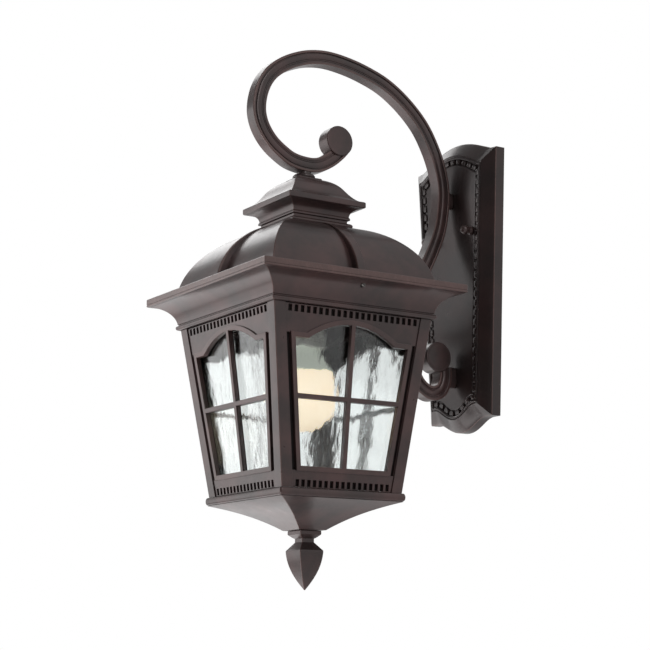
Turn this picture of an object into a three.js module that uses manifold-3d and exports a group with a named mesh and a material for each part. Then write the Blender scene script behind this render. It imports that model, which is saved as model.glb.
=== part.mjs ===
// Outdoor wall lantern: a square tapered cage under a domed roof, hung from an S-scroll arm
// on a cast wall plate.
// Millimetres. +Z is up, +Y goes into the wall, and the lantern stands off towards -Y.
// The origin is the middle of the mounting bar's back face, in the plane of the wall.
import * as THREE from "three";
import { mergeGeometries, mergeVertices } from "three/addons/utils/BufferGeometryUtils.js";
import Module from "manifold-3d";

const wasm = await Module();
wasm.setup();

// ---- driving dimensions ----
const gap = 0.3; // clearance between touching pieces
const standOff = 90.5; // wall to the cornice's nearest edge
const hookHeight = 49.3; // centre line of the arm's lowest point, on the lantern's axis, above the origin

// stem and hanger under the arm
const stemRadius = 7.2;
const stemLength = 2.4;
const collarRadius = 11.6;
const collarHeight = 4.4;
const nippleRadius = 5;
const nippleBore = 3;
const nippleBelowRoof = 84.4;

// square pieces: half sizes across the flats, and heights
const capHeight = 48.3;
const capNeckHalf = 32.8;
const capProjection = 12.3; // the cap's widest edge, outside its neck
const capFascia = 6.2;
const capWall = 3.4;
const roofHeight = 67.1;
const roofTopLap = 1.6; // the roof's top edge, outside the cap's neck
const roofFootLap = 1; // the roof's foot, outside the cornice's neck
const roofWall = 2.4;
const corniceHeight = 33.8;
const corniceFascia = 8.3;
const corniceOverhang = 2.7; // the cornice's neck, outside the cage's top
const corniceProjection = 23.2; // the cornice's widest edge, outside its neck
const corniceWall = 2.6;
const cageHeight = 169;
const cageTopHalf = 90.3;
const cageBottomHalf = 68.3;
const baseHeight = 7.4;
const baseOverhang = 3;
const panHeight = 26;
const panFootHalf = 15.5;
const panWall = 2.2;
const finialHeight = 56.9;
const finialHalf = 13.4;
const finialStudRadius = 2.6;
const finialStudDepth = 14; // into the finial
const finialNutRadius = 5.2;
const finialNutHeight = 4.5;
const baseBarHeight = 2;
const baseBarHalf = 7;

// cage pieces
const postWidth = 11.5;
const postWall = 2.6;
const panelSetback = 1.8; // from the posts' outer faces
const panelFront = 1.6; // the cut front layer
const panelBack = 2; // the plain layer behind it
const headerHeight = 31;
const sillHeight = 20;
const archRise = 16.6;
const grooveWidth = 3.4;
const sashWidth = 6.5;
const barWidth = 4.4; // glazing bars
const slotCount = 22;
const slotHeight = 6.4;
const slotShare = 0.5; // slot width over slot pitch
const glassThickness = 3;
const flangeThickness = 1.6;
const flangeRise = 26; // how far the top frame reaches up inside the cornice
const flangeFootWidth = 8;
const flangeClearance = 1; // top frame to cornice, all round
const clipWidth = 12;
const clipThickness = 0.8;

// side screws of the roof
const roofScrewRadius = 1.8;
const roofScrewHeadRadius = 2.5;
const roofScrewHeadLength = 6;
const roofScrewDrop = 11.6; // below the cornice's top
const roofScrewStand = 7; // the head's seat, outside the cornice's neck
const roofScrewGrip = 5; // how far it reaches inside the top frame

// scroll arm
const armWidth = 14;
const leadWayRadius = 3;
const leadRadius = 2;
const discRadius = 15.8;
const discLength = 17;
const upperPadLength = 6.4; // wall plate to arm
const upperPadZ = 39;
const padWidth = 10;
const upperPadHeight = 18;
const lowerPadZ = -152.5;
const lowerPadHeight = 22;
const armScrewRadius = 2.4;
const armScrewHeadRadius = 4.5;
const armScrewHeadHeight = 3;
const armScrewGrip = 9.1; // how far an arm screw reaches into the arm
const upperScrewDrop = 5; // below the upper pad's middle
const leadExitRise = 5.2; // above the upper pad's middle

// wall plate
const plateTopHalf = 68.6;
const plateFootHalf = 51.4;
const plateShoulder = 85; // height of the upper shoulders
const plateFoot = -197; // height of the lower shoulders
const plateArch = 17; // rise of the head over its shoulders
const plateDrop = 13; // drop of the foot under its shoulders
const plateShoulderWidth = 9.7; // the level stretch at each corner
const plateEdge = 11.9; // depth of the side wall
const plateDepth = 19.7; // wall to panel face
const plateCove = 12.5; // width of the coved border
const plateRim = 4.5;
const plateBorder = 7; // width of the beaded band
const plateWall = 3;

// fastening to the wall
const barLength = 104;
const barHeight = 22;
const barThickness = 2.6;
const studSpacing = 68;
const studRadius = 2.4;
const ballRadius = 4.6;
const nutBaseRadius = 4.6;
const nutBaseLength = 5;
const boxScrewSpacing = 60; // between the outlet box's two screws
const boxSlotLength = 9;
const boxSlotHeight = 4;
const boxSlotZ = -5.4;
const groundScrewX = 12;
const groundScrewZ = 6;
const groundScrewRadius = 1.9;
const groundHeadRadius = 3.6;
const groundHeadHeight = 2.2;

// lampholder
const socketRadius = 19;
const socketHeight = 49;
const socketWall = 3;
const socketCapWall = 1.5;
const socketCapSleeve = 14;
const socketCapHeight = 5; // the cap's closed head, above the body
const socketLap = 8; // how far the nipple reaches into the cap
const wireRoomHeight = 9; // above the web
const webHeight = 4;
const threadWall = 0.8;
const threadClearance = 0.6; // lamp cap to shell, in radius

// lamp
const lampCapRadius = 13;
const lampLength = 109;
const lampCapLength = 25;
const lampNeckLength = 26;
const lampRadius = 32;

// ---- heights worked out from the stack, top down ----
const halfArm = armWidth / 2;
const hangHeight = hookHeight - halfArm;
const stemBottom = hangHeight - gap - stemLength;
const collarBottom = stemBottom - gap - collarHeight;
const capTop = collarBottom - gap;
const capBottom = capTop - capHeight;
const roofTop = capBottom - gap;
const roofBottom = roofTop - roofHeight;
const corniceTop = roofBottom - gap;
const corniceBottom = corniceTop - corniceHeight;
const cageTop = corniceBottom - gap;
const cageBottom = cageTop - cageHeight;
const baseTop = cageBottom - gap;
const baseBottom = baseTop - baseHeight;
const panTop = baseBottom - gap;
const panBottom = panTop - panHeight;
const finialTop = panBottom - gap;
const finialTip = finialTop - finialHeight;
const capHalf = capNeckHalf + capProjection;
const roofTopHalf = capNeckHalf + roofTopLap;
const corniceNeckHalf = cageTopHalf + corniceOverhang;
const corniceHalf = corniceNeckHalf + corniceProjection;
const roofFootHalf = corniceNeckHalf + roofFootLap;
const reach = corniceHalf + standOff; // wall to the lantern's vertical axis
const baseHalf = cageBottomHalf + baseOverhang;
const taper = (cageTopHalf - cageBottomHalf) / cageHeight;
const holeClearance = 0.4; // radius of a clearance hole over its screw or stud
const nippleBottom = roofTop - nippleBelowRoof;
const socketTop = nippleBottom + socketLap;
const socketBottom = socketTop - socketHeight;
const bodyTop = socketTop - socketCapHeight - gap;
const webTop = bodyTop - wireRoomHeight;
const webBottom = webTop - webHeight;

const halfAt = (z) => cageBottomHalf + taper * (z - cageBottom);

// ---- finishes ----
function finish(color, roughness, metalness) {
  return new THREE.MeshStandardMaterial({ color, roughness, metalness });
}
const bronze = finish(0x3a2f2c, 0.42, 0.75);
const steel = finish(0xa8a9a6, 0.35, 1);
const brass = finish(0xb58b43, 0.35, 1);
const porcelain = finish(0xe8e4da, 0.3, 0);
const waterGlass = finish(0xf2f6f5, 0.05, 0);
const diffuser = finish(0xfff0d8, 0.35, 0);
const lampShell = finish(0xb9bcae, 0.4, 0);
const greenSteel = finish(0x2f7a45, 0.4, 0.8);
const leadCover = finish(0x1d1d1f, 0.5, 0);

// ---- solids ----
const point = (x, y) => new THREE.Vector2(x, y);

function solid(geometry) {
  const bare = geometry.index ? geometry.toNonIndexed() : geometry.clone();
  bare.deleteAttribute("normal");
  bare.deleteAttribute("uv");
  const merged = mergeVertices(bare, 1e-3);
  const { array } = merged.index;
  const kept = [];
  for (let i = 0; i < array.length; i += 3) {
    const [a, b, c] = [array[i], array[i + 1], array[i + 2]];
    if (a !== b && b !== c && c !== a) kept.push(a, b, c);
  }
  const vertProperties = merged.attributes.position.array;
  return new wasm.Manifold(new wasm.Mesh({ numProp: 3, vertProperties, triVerts: new Uint32Array(kept) }));
}

function geometryOf(manifold) {
  const { vertProperties, triVerts, numProp, numVert } = manifold.getMesh();
  const positions = new Float32Array(numVert * 3);
  for (let i = 0; i < numVert; i++) {
    positions.set(vertProperties.subarray(i * numProp, i * numProp + 3), i * 3);
  }
  return new THREE.BufferGeometry()
    .setAttribute("position", new THREE.BufferAttribute(positions, 3))
    .setIndex(new THREE.BufferAttribute(triVerts, 1));
}

function cut(body, ...tools) {
  return geometryOf(tools.reduce((rest, tool) => rest.subtract(solid(tool)), solid(body)));
}
const join = (...bodies) => geometryOf(bodies.map(solid).reduce((sum, body) => sum.add(body)));

// A profile of [radius, height] turned about +Z, round or with flat sides that face the row's axes.
function turned(profile, segments = 28) {
  const points = profile.map(([r, z]) => point(r, z));
  return new THREE.LatheGeometry(points, segments).rotateX(Math.PI / 2);
}
function squareTurned(profile) {
  const points = profile.map(([half, z]) => point(half * Math.SQRT2, z));
  return new THREE.LatheGeometry(points, 4, Math.PI / 4).rotateX(Math.PI / 2);
}

// A cylinder from one point to another.
function rod(radius, from, to, segments = 20) {
  const [a, b] = [new THREE.Vector3(...from), new THREE.Vector3(...to)];
  const along = b.clone().sub(a);
  const upright = new THREE.Vector3(0, 1, 0);
  const turn = new THREE.Quaternion().setFromUnitVectors(upright, along.clone().normalize());
  const middle = a.clone().add(b).multiplyScalar(0.5);
  return new THREE.CylinderGeometry(radius, radius, along.length(), segments)
    .applyQuaternion(turn)
    .translate(middle.x, middle.y, middle.z);
}

function block(x0, x1, y0, y1, z0, z1) {
  const geometry = new THREE.BoxGeometry(x1 - x0, y1 - y0, z1 - z0);
  return geometry.translate((x0 + x1) / 2, (y0 + y1) / 2, (z0 + z1) / 2);
}

// Points of a smooth curve between [x, y] ends, through two pull points.
function bend(from, pullA, pullB, to, steps) {
  const curve = new THREE.CubicBezierCurve(point(...from), point(...pullA), point(...pullB), point(...to));
  return curve.getPoints(steps).map((p) => [p.x, p.y]);
}

function tube(curve, radius, steps, sides) {
  const section = new THREE.Shape().absarc(0, 0, radius, 0, 2 * Math.PI);
  return new THREE.ExtrudeGeometry(section, { extrudePath: curve, steps, curveSegments: sides / 2 });
}

// A stack of rings with the same number of points, closed by a fan over the first ring and over the last.
function lofted(rings) {
  const count = rings[0].length;
  const positions = [];
  const put = (p) => positions.push(p.x, p.y, p.z);
  for (let r = 0; r + 1 < rings.length; r++)
    for (let i = 0; i < count; i++) {
      const j = (i + 1) % count;
      [rings[r][i], rings[r + 1][i], rings[r + 1][j], rings[r][i], rings[r + 1][j], rings[r][j]].forEach(put);
    }
  const cover = (ring) => {
    const middle = ring.reduce((sum, p) => sum.add(p), new THREE.Vector3()).divideScalar(count);
    ring.forEach((p, i) => [middle, p, ring[(i + 1) % count]].forEach(put));
  };
  cover(rings[0]);
  cover([...rings[rings.length - 1]].reverse());
  return new THREE.BufferGeometry().setAttribute("position", new THREE.Float32BufferAttribute(positions, 3));
}

const part = new THREE.Group();
const lantern = new THREE.Group(); // its own axis is the lantern's vertical axis
lantern.position.y = -reach;
part.add(lantern);

function add(group, name, geometry, material) {
  const mesh = new THREE.Mesh(geometry, material);
  mesh.name = name;
  group.add(mesh);
  return mesh;
}

// ---- wall plate ----
// The outline, drawn in by `inset` on every side, as points in the plane y.
function plateOutline(inset, y) {
  const lean = (plateTopHalf - plateFootHalf) / (plateShoulder - plateFoot);
  const head = plateShoulder - inset;
  const foot = plateFoot + inset;
  const half = (z) => plateFootHalf + lean * (z - plateFoot) - inset;
  const headSpan = half(head) - plateShoulderWidth + inset * 0.35;
  const footSpan = half(foot) - plateShoulderWidth + inset * 0.35;
  const drop = bend([0, foot - plateDrop], [footSpan * 0.45, foot - plateDrop], [footSpan * 0.67, foot],
    [footSpan, foot], 9);
  const rise = bend([headSpan, head + 0.8], [headSpan * 0.79, head + 5], [headSpan * 0.45, head + plateArch],
    [0, head + plateArch], 9);
  const right = [...drop, [half(foot), foot], [half(head), head], ...rise];
  const left = right.slice(1, -1).reverse().map(([x, z]) => [-x, z]);
  return [...right, ...left].map(([x, z]) => new THREE.Vector3(x, y, z));
}

const panelY = -plateDepth;
const ceilingY = panelY + plateWall;
const coveSteps = 4;
const coveRings = [];
for (let i = coveSteps; i >= 0; i--) {
  const turn = (i / coveSteps) * (Math.PI / 2);
  const inset = plateCove * (1 - Math.cos(turn));
  const forward = (plateDepth + 1.2 - plateEdge) * (i / coveSteps) ** 1.6;
  coveRings.push(plateOutline(0.6 + inset, -plateEdge - forward));
}
const borderInset = plateCove + plateRim;
const bandProud = 0.8; // the beaded band, in front of the panel
const rimProud = 2.2;
const plateRings = [
  plateOutline(borderInset + plateBorder, panelY),
  plateOutline(borderInset + plateBorder - bandProud, panelY - bandProud),
  plateOutline(borderInset, panelY - bandProud),
  plateOutline(borderInset - 1, panelY - rimProud),
  ...coveRings,
  plateOutline(0, -plateEdge + 0.8),
  plateOutline(0, 0),
  plateOutline(plateWall, 0),
  plateOutline(plateWall, -plateEdge + plateWall),
  plateOutline(plateCove + plateWall, ceilingY),
];

const upperScrewZ = upperPadZ - upperScrewDrop;
const leadExitZ = upperPadZ + leadExitRise;
const padScrews = [upperScrewZ, lowerPadZ];
const studXs = [-studSpacing / 2, studSpacing / 2];
const through = (radius, x, z, y0 = -reach / 2) => rod(radius, [x, y0, z], [x, 1, z]);

add(part, "wall_plate", cut(
  lofted(plateRings),
  ...studXs.map((x) => through(studRadius + holeClearance, x, 0)),
  ...padScrews.map((z) => through(armScrewRadius + holeClearance, 0, z)),
  through(leadWayRadius, 0, leadExitZ),
), bronze);

// ---- mounting bar, studs and nuts ----
const barHoles = studXs.map((x) => rod(studRadius + holeClearance, [x, -barThickness - 1, 0], [x, 1, 0]));
const boxSlots = [-1, 1].map((side) => {
  const x = side * (boxScrewSpacing / 2 - boxSlotLength / 2);
  return block(x - boxSlotLength / 2, x + boxSlotLength / 2, -barThickness - 1, 1,
    boxSlotZ - boxSlotHeight / 2, boxSlotZ + boxSlotHeight / 2);
});
function atGroundScrew(radius, y0, y1) {
  return rod(radius, [groundScrewX, y0, groundScrewZ], [groundScrewX, y1, groundScrewZ]);
}
add(part, "mounting_bar", cut(
  block(-barLength / 2, barLength / 2, -barThickness, 0, -barHeight / 2, barHeight / 2),
  ...barHoles,
  ...boxSlots,
  atGroundScrew(groundScrewRadius + gap, -barThickness - 1, 1),
), steel);
const studTip = panelY - nutBaseLength - ballRadius * 1.2;
const ballCentre = nutBaseLength + ballRadius * 0.8;
const ballNeck = ballRadius * 0.74;
const ballStart = Math.asin(ballNeck / ballRadius);
const ballSteps = 7;
studXs.forEach((x, i) => {
  const side = i ? "right" : "left";
  add(part, "mounting_stud_" + side, rod(studRadius, [x, studTip, 0], [x, -gap, 0]), steel);
  const bore = studRadius + gap;
  const boreDepth = panelY - gap - studTip + gap;
  const profile = [[bore, 0], [nutBaseRadius, 0], [nutBaseRadius, nutBaseLength * 0.36],
    [nutBaseRadius - 0.6, nutBaseLength * 0.52], [ballNeck, ballCentre - ballRadius * Math.cos(ballStart)]];
  for (let k = 1; k < ballSteps; k++) {
    const turn = ballStart + (k / ballSteps) * (Math.PI - ballStart);
    profile.push([ballRadius * Math.sin(turn), ballCentre - ballRadius * Math.cos(turn)]);
  }
  profile.push([0, ballCentre + ballRadius], [0, boreDepth], [bore, boreDepth], [bore, 0]);
  const nut = add(part, "ball_nut_" + side, turned(profile, 16), bronze);
  nut.rotation.x = Math.PI / 2;
  nut.position.set(x, panelY - gap, 0);
});
const groundSeat = -barThickness - gap;
add(part, "ground_screw", join(
  atGroundScrew(groundHeadRadius, groundSeat - groundHeadHeight, groundSeat),
  atGroundScrew(groundScrewRadius, groundSeat - 1, -gap),
), greenSteel);

// ---- scroll arm ----
// Points are distances from the lantern's axis and heights. Those behind the axis are drawn for an arm whose
// rearmost centre line lies at `drawnBack`, and are stretched to where the upper pad holds it.
const drawnBack = 173.6;
const armBack = reach - plateDepth - upperPadLength - halfArm;
const placed = ([y, z]) => [y > 0 ? y * (armBack / drawnBack) : y, z];
const upperEye = placed([39, 80.5]);
const lowerEye = placed([161.3, -133.3]);
const hook = [-1, hookHeight];
const scrollEnd = [[45, 73.5], [39.2, 67.2], [27.5, 57.6], [13, 50.4]].map(placed);
const scrollRun = [
  [-17.5, 52], [-29, 57.8], [-40, 65.7], [-48.5, 75.4], [-54.5, 87], [-56.8, 100.7], [-53.2, 120.8],
  [-43.9, 137.6], [-27.5, 151.4], [-6.2, 161.8], [11, 166.4], [28, 168], [51.9, 166], [76.3, 160.8],
  [100.7, 152.2], [125.3, 136.7], [147.5, 115.2], [162.3, 90.1],
].map(placed);
const scrollTail = [
  [169.8, 70], [173.2, 54], [drawnBack, 38.7], [168, 4.8], [156.9, -22], [147.5, -40.1], [137, -63],
  [129, -87.5], [125.3, -112], [126.8, -136], [132, -153], [141, -165.5], [154, -171.2], [165, -167.2],
  [170.4, -156], [170.8, -143],
].map(placed);
const inArmPlane = ([y, z]) => new THREE.Vector3(0, y, z);
const smooth = (points) => new THREE.CatmullRomCurve3(points.map(inArmPlane));
const scroll = smooth([...scrollEnd, hook, ...scrollRun, ...scrollTail]);

// A square bar with a groove along each side of its broad faces, drawn for a half width of 1.
function armSection() {
  const side = [[0.83, -1], [1, -0.83], [0.98, -0.62], [0.9, -0.52], [0.99, -0.38], [0.99, 0.38], [0.9, 0.52],
    [0.98, 0.62], [1, 0.83], [0.83, 1]];
  const outline = [...side, ...side.map(([x, y]) => [-x, -y])];
  return new THREE.Shape(outline.map(([x, y]) => point(x * halfArm, y * halfArm)));
}

// The lead rises through the nipple, follows the arm and leaves it through the upper pad.
const leadBend = 9;
const leadPath = smooth([
  [0, webTop + gap], [0, nippleBottom + 16], [0, roofTop - 6], [0, capTop - 15], [0, capTop], [0, hangHeight],
  [-1.6, hookHeight - 2.1], [-7, hookHeight + 0.9],
  ...scrollRun,
  [armBack - 4.4, leadExitZ + 25.8], [armBack - 2.1, leadExitZ + 11.8], [armBack + 2.4, leadExitZ + 2],
  [armBack + halfArm + gap, leadExitZ], [reach + ceilingY, leadExitZ],
  [reach + ceilingY + leadBend * 0.55, leadExitZ - 1], [reach + ceilingY + leadBend - 0.5, leadExitZ - 6],
  [reach + ceilingY + leadBend, leadExitZ - 13],
]);
const leadSteps = 72;
const armSteps = 66;
const upperArmFace = armBack + halfArm;
const lowerArmFace = scrollTail[scrollTail.length - 1][0] + halfArm;
function armTapping(z, face) {
  return rod(armScrewRadius + gap, [0, face - armScrewGrip - 0.5, z], [0, face + halfArm, z]);
}
const discRoom = (centre) => rod(discRadius + 2 * gap, [-armWidth, ...centre], [armWidth, ...centre], 32);

add(lantern, "scroll_arm", cut(
  new THREE.ExtrudeGeometry(armSection(), { extrudePath: scroll, steps: armSteps }),
  tube(leadPath, leadWayRadius, leadSteps, 8),
  rod(nippleRadius + gap, [0, 0, hangHeight - 8], [0, 0, hookHeight]),
  armTapping(upperScrewZ, upperArmFace),
  armTapping(lowerPadZ, lowerArmFace),
  discRoom(upperEye),
  discRoom(lowerEye),
), bronze);

function discGeometry([y, z]) {
  const half = discLength / 2;
  const profile = [
    [0, -half], [discRadius - 1.6, -half], [discRadius - 0.4, -half + 0.4], [discRadius, -half + 1.4],
    [discRadius, half - 1.4], [discRadius - 0.4, half - 0.4], [discRadius - 1.6, half], [0, half],
  ];
  return turned(profile, 28).rotateY(Math.PI / 2).translate(0, y, z);
}
add(lantern, "upper_scroll_disc", discGeometry(upperEye), bronze);
add(lantern, "lower_scroll_disc", discGeometry(lowerEye), bronze);

function pad(name, armFace, z, height, holes) {
  const ends = [z - height / 2, z + height / 2];
  const body = block(-padWidth / 2, padWidth / 2, armFace - reach + gap, panelY - gap, ...ends);
  add(part, name, cut(body, ...holes), bronze);
}
const screwWay = (z) => through(armScrewRadius + holeClearance, 0, z);
const upperPadWays = [screwWay(upperScrewZ), through(leadWayRadius, 0, leadExitZ)];
pad("upper_arm_pad", upperArmFace, upperPadZ, upperPadHeight, upperPadWays);
pad("lower_arm_pad", lowerArmFace, lowerPadZ, lowerPadHeight, [screwWay(lowerPadZ)]);

function armScrew(name, z, armFace) {
  const seat = ceilingY + gap;
  const head = rod(armScrewHeadRadius, [0, seat, z], [0, seat + armScrewHeadHeight, z]);
  const shank = rod(armScrewRadius, [0, armFace - reach - armScrewGrip, z], [0, seat + 1, z]);
  add(part, name, join(head, shank), steel);
}
armScrew("upper_arm_screw", upperScrewZ, upperArmFace);
armScrew("lower_arm_screw", lowerPadZ, lowerArmFace);
add(lantern, "lamp_lead", tube(leadPath, leadRadius, leadSteps, 8), leadCover);

// ---- stem, collar and hanger ----
const nippleRoom = nippleRadius + gap;
const bored = (profile, radius = nippleRoom) => {
  const zs = profile.map(([, z]) => z);
  return cut(turned(profile), rod(radius, [0, 0, Math.min(...zs) - 1], [0, 0, Math.max(...zs) + 1]));
};
add(lantern, "stem", bored([[0, stemBottom], [stemRadius, stemBottom], [stemRadius, stemBottom + stemLength],
  [0, stemBottom + stemLength]]), bronze);
const bead = bend([collarRadius - 2.2, collarBottom], [collarRadius + 0.8, collarBottom],
  [collarRadius + 0.8, collarBottom + collarHeight], [collarRadius - 2.2, collarBottom + collarHeight], 6);
add(lantern, "stem_collar", bored([[0, collarBottom], ...bead, [0, collarBottom + collarHeight]]), bronze);
const nippleTop = hangHeight + 1.5;
add(lantern, "hanger_nipple", cut(
  rod(nippleRadius, [0, 0, nippleBottom], [0, 0, nippleTop], 24),
  rod(nippleBore, [0, 0, nippleBottom - 1], [0, 0, nippleTop + 1], 24),
), steel);

// ---- cap ----
const down = (share) => capTop - share * capHeight;
const out = (share) => share * capHalf;
const capFasciaTop = down(0.559);
const capFasciaBottom = capFasciaTop - capFascia;
const capCove = bend([capHalf - 1, capFasciaBottom], [capNeckHalf + 3, capFasciaBottom - 1.5],
  [capNeckHalf, capFasciaBottom - 4], [capNeckHalf, capFasciaBottom - 10], 6);
const capProfile = [
  [0, capBottom], [capNeckHalf - 0.4, capBottom], ...[...capCove].reverse(),
  [capHalf, capFasciaBottom + 0.6], [capHalf, capFasciaTop - 0.6], [capHalf - 1, capFasciaTop],
  ...bend([capHalf - 2, capFasciaTop + 0.2], [out(0.831), down(0.518)], [out(0.743), down(0.406)],
    [out(0.654), down(0.282)], 6),
  ...bend([out(0.634), down(0.252)], [out(0.57), down(0.16)], [out(0.48), down(0.085)],
    [out(0.308), down(0.031)], 6),
  [out(0.28), capTop], [0, capTop],
];
const capInner = capNeckHalf - capWall;
const capHollow = [
  [0, capBottom - 1], [capInner, capBottom - 1], [capInner, capFasciaBottom - 2],
  [out(0.654) - capWall, down(0.36)], [out(0.56) - capWall, down(0.197)], [0, capTop - capWall - 1.1],
];
const boreAll = rod(nippleRoom, [0, 0, nippleBottom - 5], [0, 0, hangHeight], 24);
add(lantern, "cap", cut(squareTurned(capProfile), squareTurned(capHollow), boreAll), bronze);

// ---- roof ----
const roofShoulder = roofTop - 5;
const roofPull = roofTopHalf + (roofFootHalf - roofTopHalf) * 0.396;
const roofCurve = (inset) => bend(
  [roofTopHalf - inset, roofShoulder - inset * 0.6],
  [roofPull - inset, roofShoulder - 2.5 - inset],
  [roofFootHalf - 4 - inset, roofShoulder - roofHeight * 0.387 - inset * 0.6],
  [roofFootHalf - inset, roofBottom], 12);
const roofBead = bend([roofTopHalf, roofShoulder], [roofTopHalf + 2, roofShoulder + 1.5],
  [roofTopHalf + 2, roofTop - 0.5], [roofTopHalf - 1.5, roofTop], 4);
const roofShell = cut(
  squareTurned([[0, roofBottom], ...[...roofCurve(0)].reverse(), ...roofBead.slice(1), [0, roofTop]]),
  squareTurned([[0, roofBottom - 1], [roofFootHalf - roofWall, roofBottom - 1],
    ...[...roofCurve(roofWall)].reverse(), [0, roofShoulder - roofWall]]),
  boreAll,
);
// A strap runs down the middle of each face and stands further out towards the foot.
const strapWidth = 9.5;
const strapStart = roofTopHalf + 6;
const strapProud = (x) => 0.6 + 8 * Math.max(0, (x - strapStart) / (roofFootHalf - strapStart)) ** 1.5;
function strap(turn) {
  const inner = roofCurve(0.6).filter(([x]) => x > strapStart);
  const outer = roofCurve(0).filter(([x]) => x > strapStart).map(([x, z]) => [x + strapProud(x), z + 0.8]);
  outer[outer.length - 1][1] = roofBottom;
  const shape = new THREE.Shape([...inner, ...outer.reverse()].map(([x, z]) => point(x, z)));
  const geometry = new THREE.ExtrudeGeometry(shape, { depth: strapWidth, bevelEnabled: false });
  return geometry.translate(0, 0, -strapWidth / 2).rotateX(Math.PI / 2).rotateZ(turn);
}
const quarterTurns = [0, 1, 2, 3].map((i) => (i * Math.PI) / 2);
add(lantern, "roof", join(roofShell, ...quarterTurns.map(strap)), bronze);

// ---- washer and nut that clamp the roof ----
const washerTop = roofShoulder - roofWall - gap;
const washerHeight = 1.6;
const nutHeight = 6;
add(lantern, "hanger_washer", bored([[0, washerTop - washerHeight], [11, washerTop - washerHeight],
  [11, washerTop], [0, washerTop]]), steel);
const nutTop = washerTop - washerHeight - gap;
add(lantern, "hanger_nut", cut(
  turned([[0, nutTop - nutHeight], [8.6, nutTop - nutHeight], [8.6, nutTop], [0, nutTop]], 6),
  boreAll,
), brass);

// ---- cornice ----
const fasciaBottom = corniceTop - corniceFascia;
const coveFoot = corniceBottom + 6;
const coveCurve = (out) => bend(
  [corniceHalf - 2.4, fasciaBottom + out], [corniceHalf - 14, fasciaBottom - 2 + out],
  [corniceNeckHalf + 1 - out * 0.7, coveFoot + 9], [corniceNeckHalf - 0.2 - out, coveFoot], 8);
const fascia = [
  [corniceHalf - 1, corniceTop], [corniceHalf, corniceTop - 1], [corniceHalf, corniceTop - 3.4],
  [corniceHalf - 1, corniceTop - 4.1], [corniceHalf, corniceTop - 4.8], [corniceHalf, fasciaBottom + 1],
  [corniceHalf - 1, fasciaBottom],
];
const lowerBead = bend([corniceNeckHalf - 0.5, coveFoot - 0.6], [corniceNeckHalf + 2.6, coveFoot - 0.8],
  [corniceNeckHalf + 2.6, corniceBottom + 0.4], [corniceNeckHalf - 1, corniceBottom], 5);
const corniceInner = corniceNeckHalf - corniceWall;
const roofScrewZ = corniceTop - roofScrewDrop;
const screwSeat = corniceNeckHalf + roofScrewStand;
function alongScrew(radius, side, x0) {
  return rod(radius, [side * x0, 0, roofScrewZ], [side * corniceHalf, 0, roofScrewZ]);
}
const roofScrewRoom = [-1, 1].flatMap((side) => [
  alongScrew(roofScrewRadius + holeClearance, side, corniceInner * 0.9),
  alongScrew(roofScrewHeadRadius + holeClearance, side, screwSeat - gap),
]);
add(lantern, "cornice", cut(
  squareTurned([
    [corniceInner, corniceTop], ...[...fascia, ...coveCurve(0), ...lowerBead, [corniceInner, corniceBottom]],
    [corniceInner, coveFoot + 2], ...[...coveCurve(corniceWall)].reverse().slice(1, 6),
    [corniceHalf - 10, corniceTop - 2.6], [corniceInner, corniceTop - 2.6], [corniceInner, corniceTop],
  ].reverse()),
  ...roofScrewRoom,
), bronze);

// ---- side screws of the roof ----
const flangeOuter = corniceInner - flangeClearance;
[-1, 1].forEach((side) => {
  const head = rod(roofScrewHeadRadius, [side * screwSeat, 0, roofScrewZ],
    [side * (screwSeat + roofScrewHeadLength), 0, roofScrewZ], 16);
  const shank = rod(roofScrewRadius, [side * (flangeOuter - roofScrewGrip), 0, roofScrewZ],
    [side * (screwSeat + 1), 0, roofScrewZ], 16);
  add(lantern, "roof_screw_" + (side < 0 ? "left" : "right"), join(head, shank), steel);
});

// ---- cage: top frame ----
const flangeTop = corniceBottom + flangeRise;
const panelInner = panelSetback + panelFront + panelBack; // from the posts' outer faces to the panels' backs
const footOuter = halfAt(cageTop) - panelInner - 2 * gap;
const footInner = Math.min(flangeOuter, footOuter) - flangeThickness - flangeFootWidth;
const flangeInner = footInner + flangeFootWidth;
const footBottom = cageTop + 2 * gap;
const slotHalf = roofScrewRadius + holeClearance;
const screwSlots = [-1, 1].map((side) => {
  const ends = [side * (flangeInner - 2), side * (flangeOuter + 2)].sort((a, b) => a - b);
  return block(...ends, -slotHalf, slotHalf, roofScrewZ - slotHalf, flangeTop + 1);
});
add(lantern, "top_frame", cut(
  squareTurned([
    [footInner, footBottom], [footOuter, footBottom],
    [flangeInner + flangeThickness, footBottom + flangeThickness],
    [flangeInner + flangeThickness, flangeTop], [flangeInner, flangeTop],
    [flangeInner, footBottom + flangeThickness], [footInner, footBottom + flangeThickness],
    [footInner, footBottom],
  ]),
  ...screwSlots,
), bronze);

// ---- cage: corner posts ----
// Upright pieces lean outwards: this shear moves a point by the taper, along its own outward directions.
function leaning(geometry, alongX, alongY) {
  const shear = new THREE.Matrix4().makeShear(0, 0, 0, 0, taper * alongX, taper * alongY);
  return geometry.translate(0, 0, -cageBottom).applyMatrix4(shear).translate(0, 0, cageBottom);
}
const angleSection = [
  [0, 0], [0, -postWidth], [-postWall, -postWidth],
  [-postWall, -postWall], [-postWidth, -postWall], [-postWidth, 0],
];
quarterTurns.forEach((turn, i) => {
  const shape = new THREE.Shape(angleSection.map(([x, y]) => point(x + cageBottomHalf, y + cageBottomHalf)));
  const upright = new THREE.ExtrudeGeometry(shape, { depth: cageHeight, bevelEnabled: false })
    .translate(0, 0, cageBottom);
  const post = add(lantern, "corner_post_" + (i + 1), leaning(upright, 1, 1), bronze);
  post.rotation.z = turn - Math.PI / 2;
});

// ---- cage: window panels, drawn in [across, height] and pushed out to the leaning face ----
const archFoot = cageTop - headerHeight;
const sillTop = cageBottom + sillHeight;
const edgeAt = (z, inset) => halfAt(z) - inset;
const archHalf = edgeAt(archFoot, postWidth + grooveWidth + sashWidth) - 15;

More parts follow.
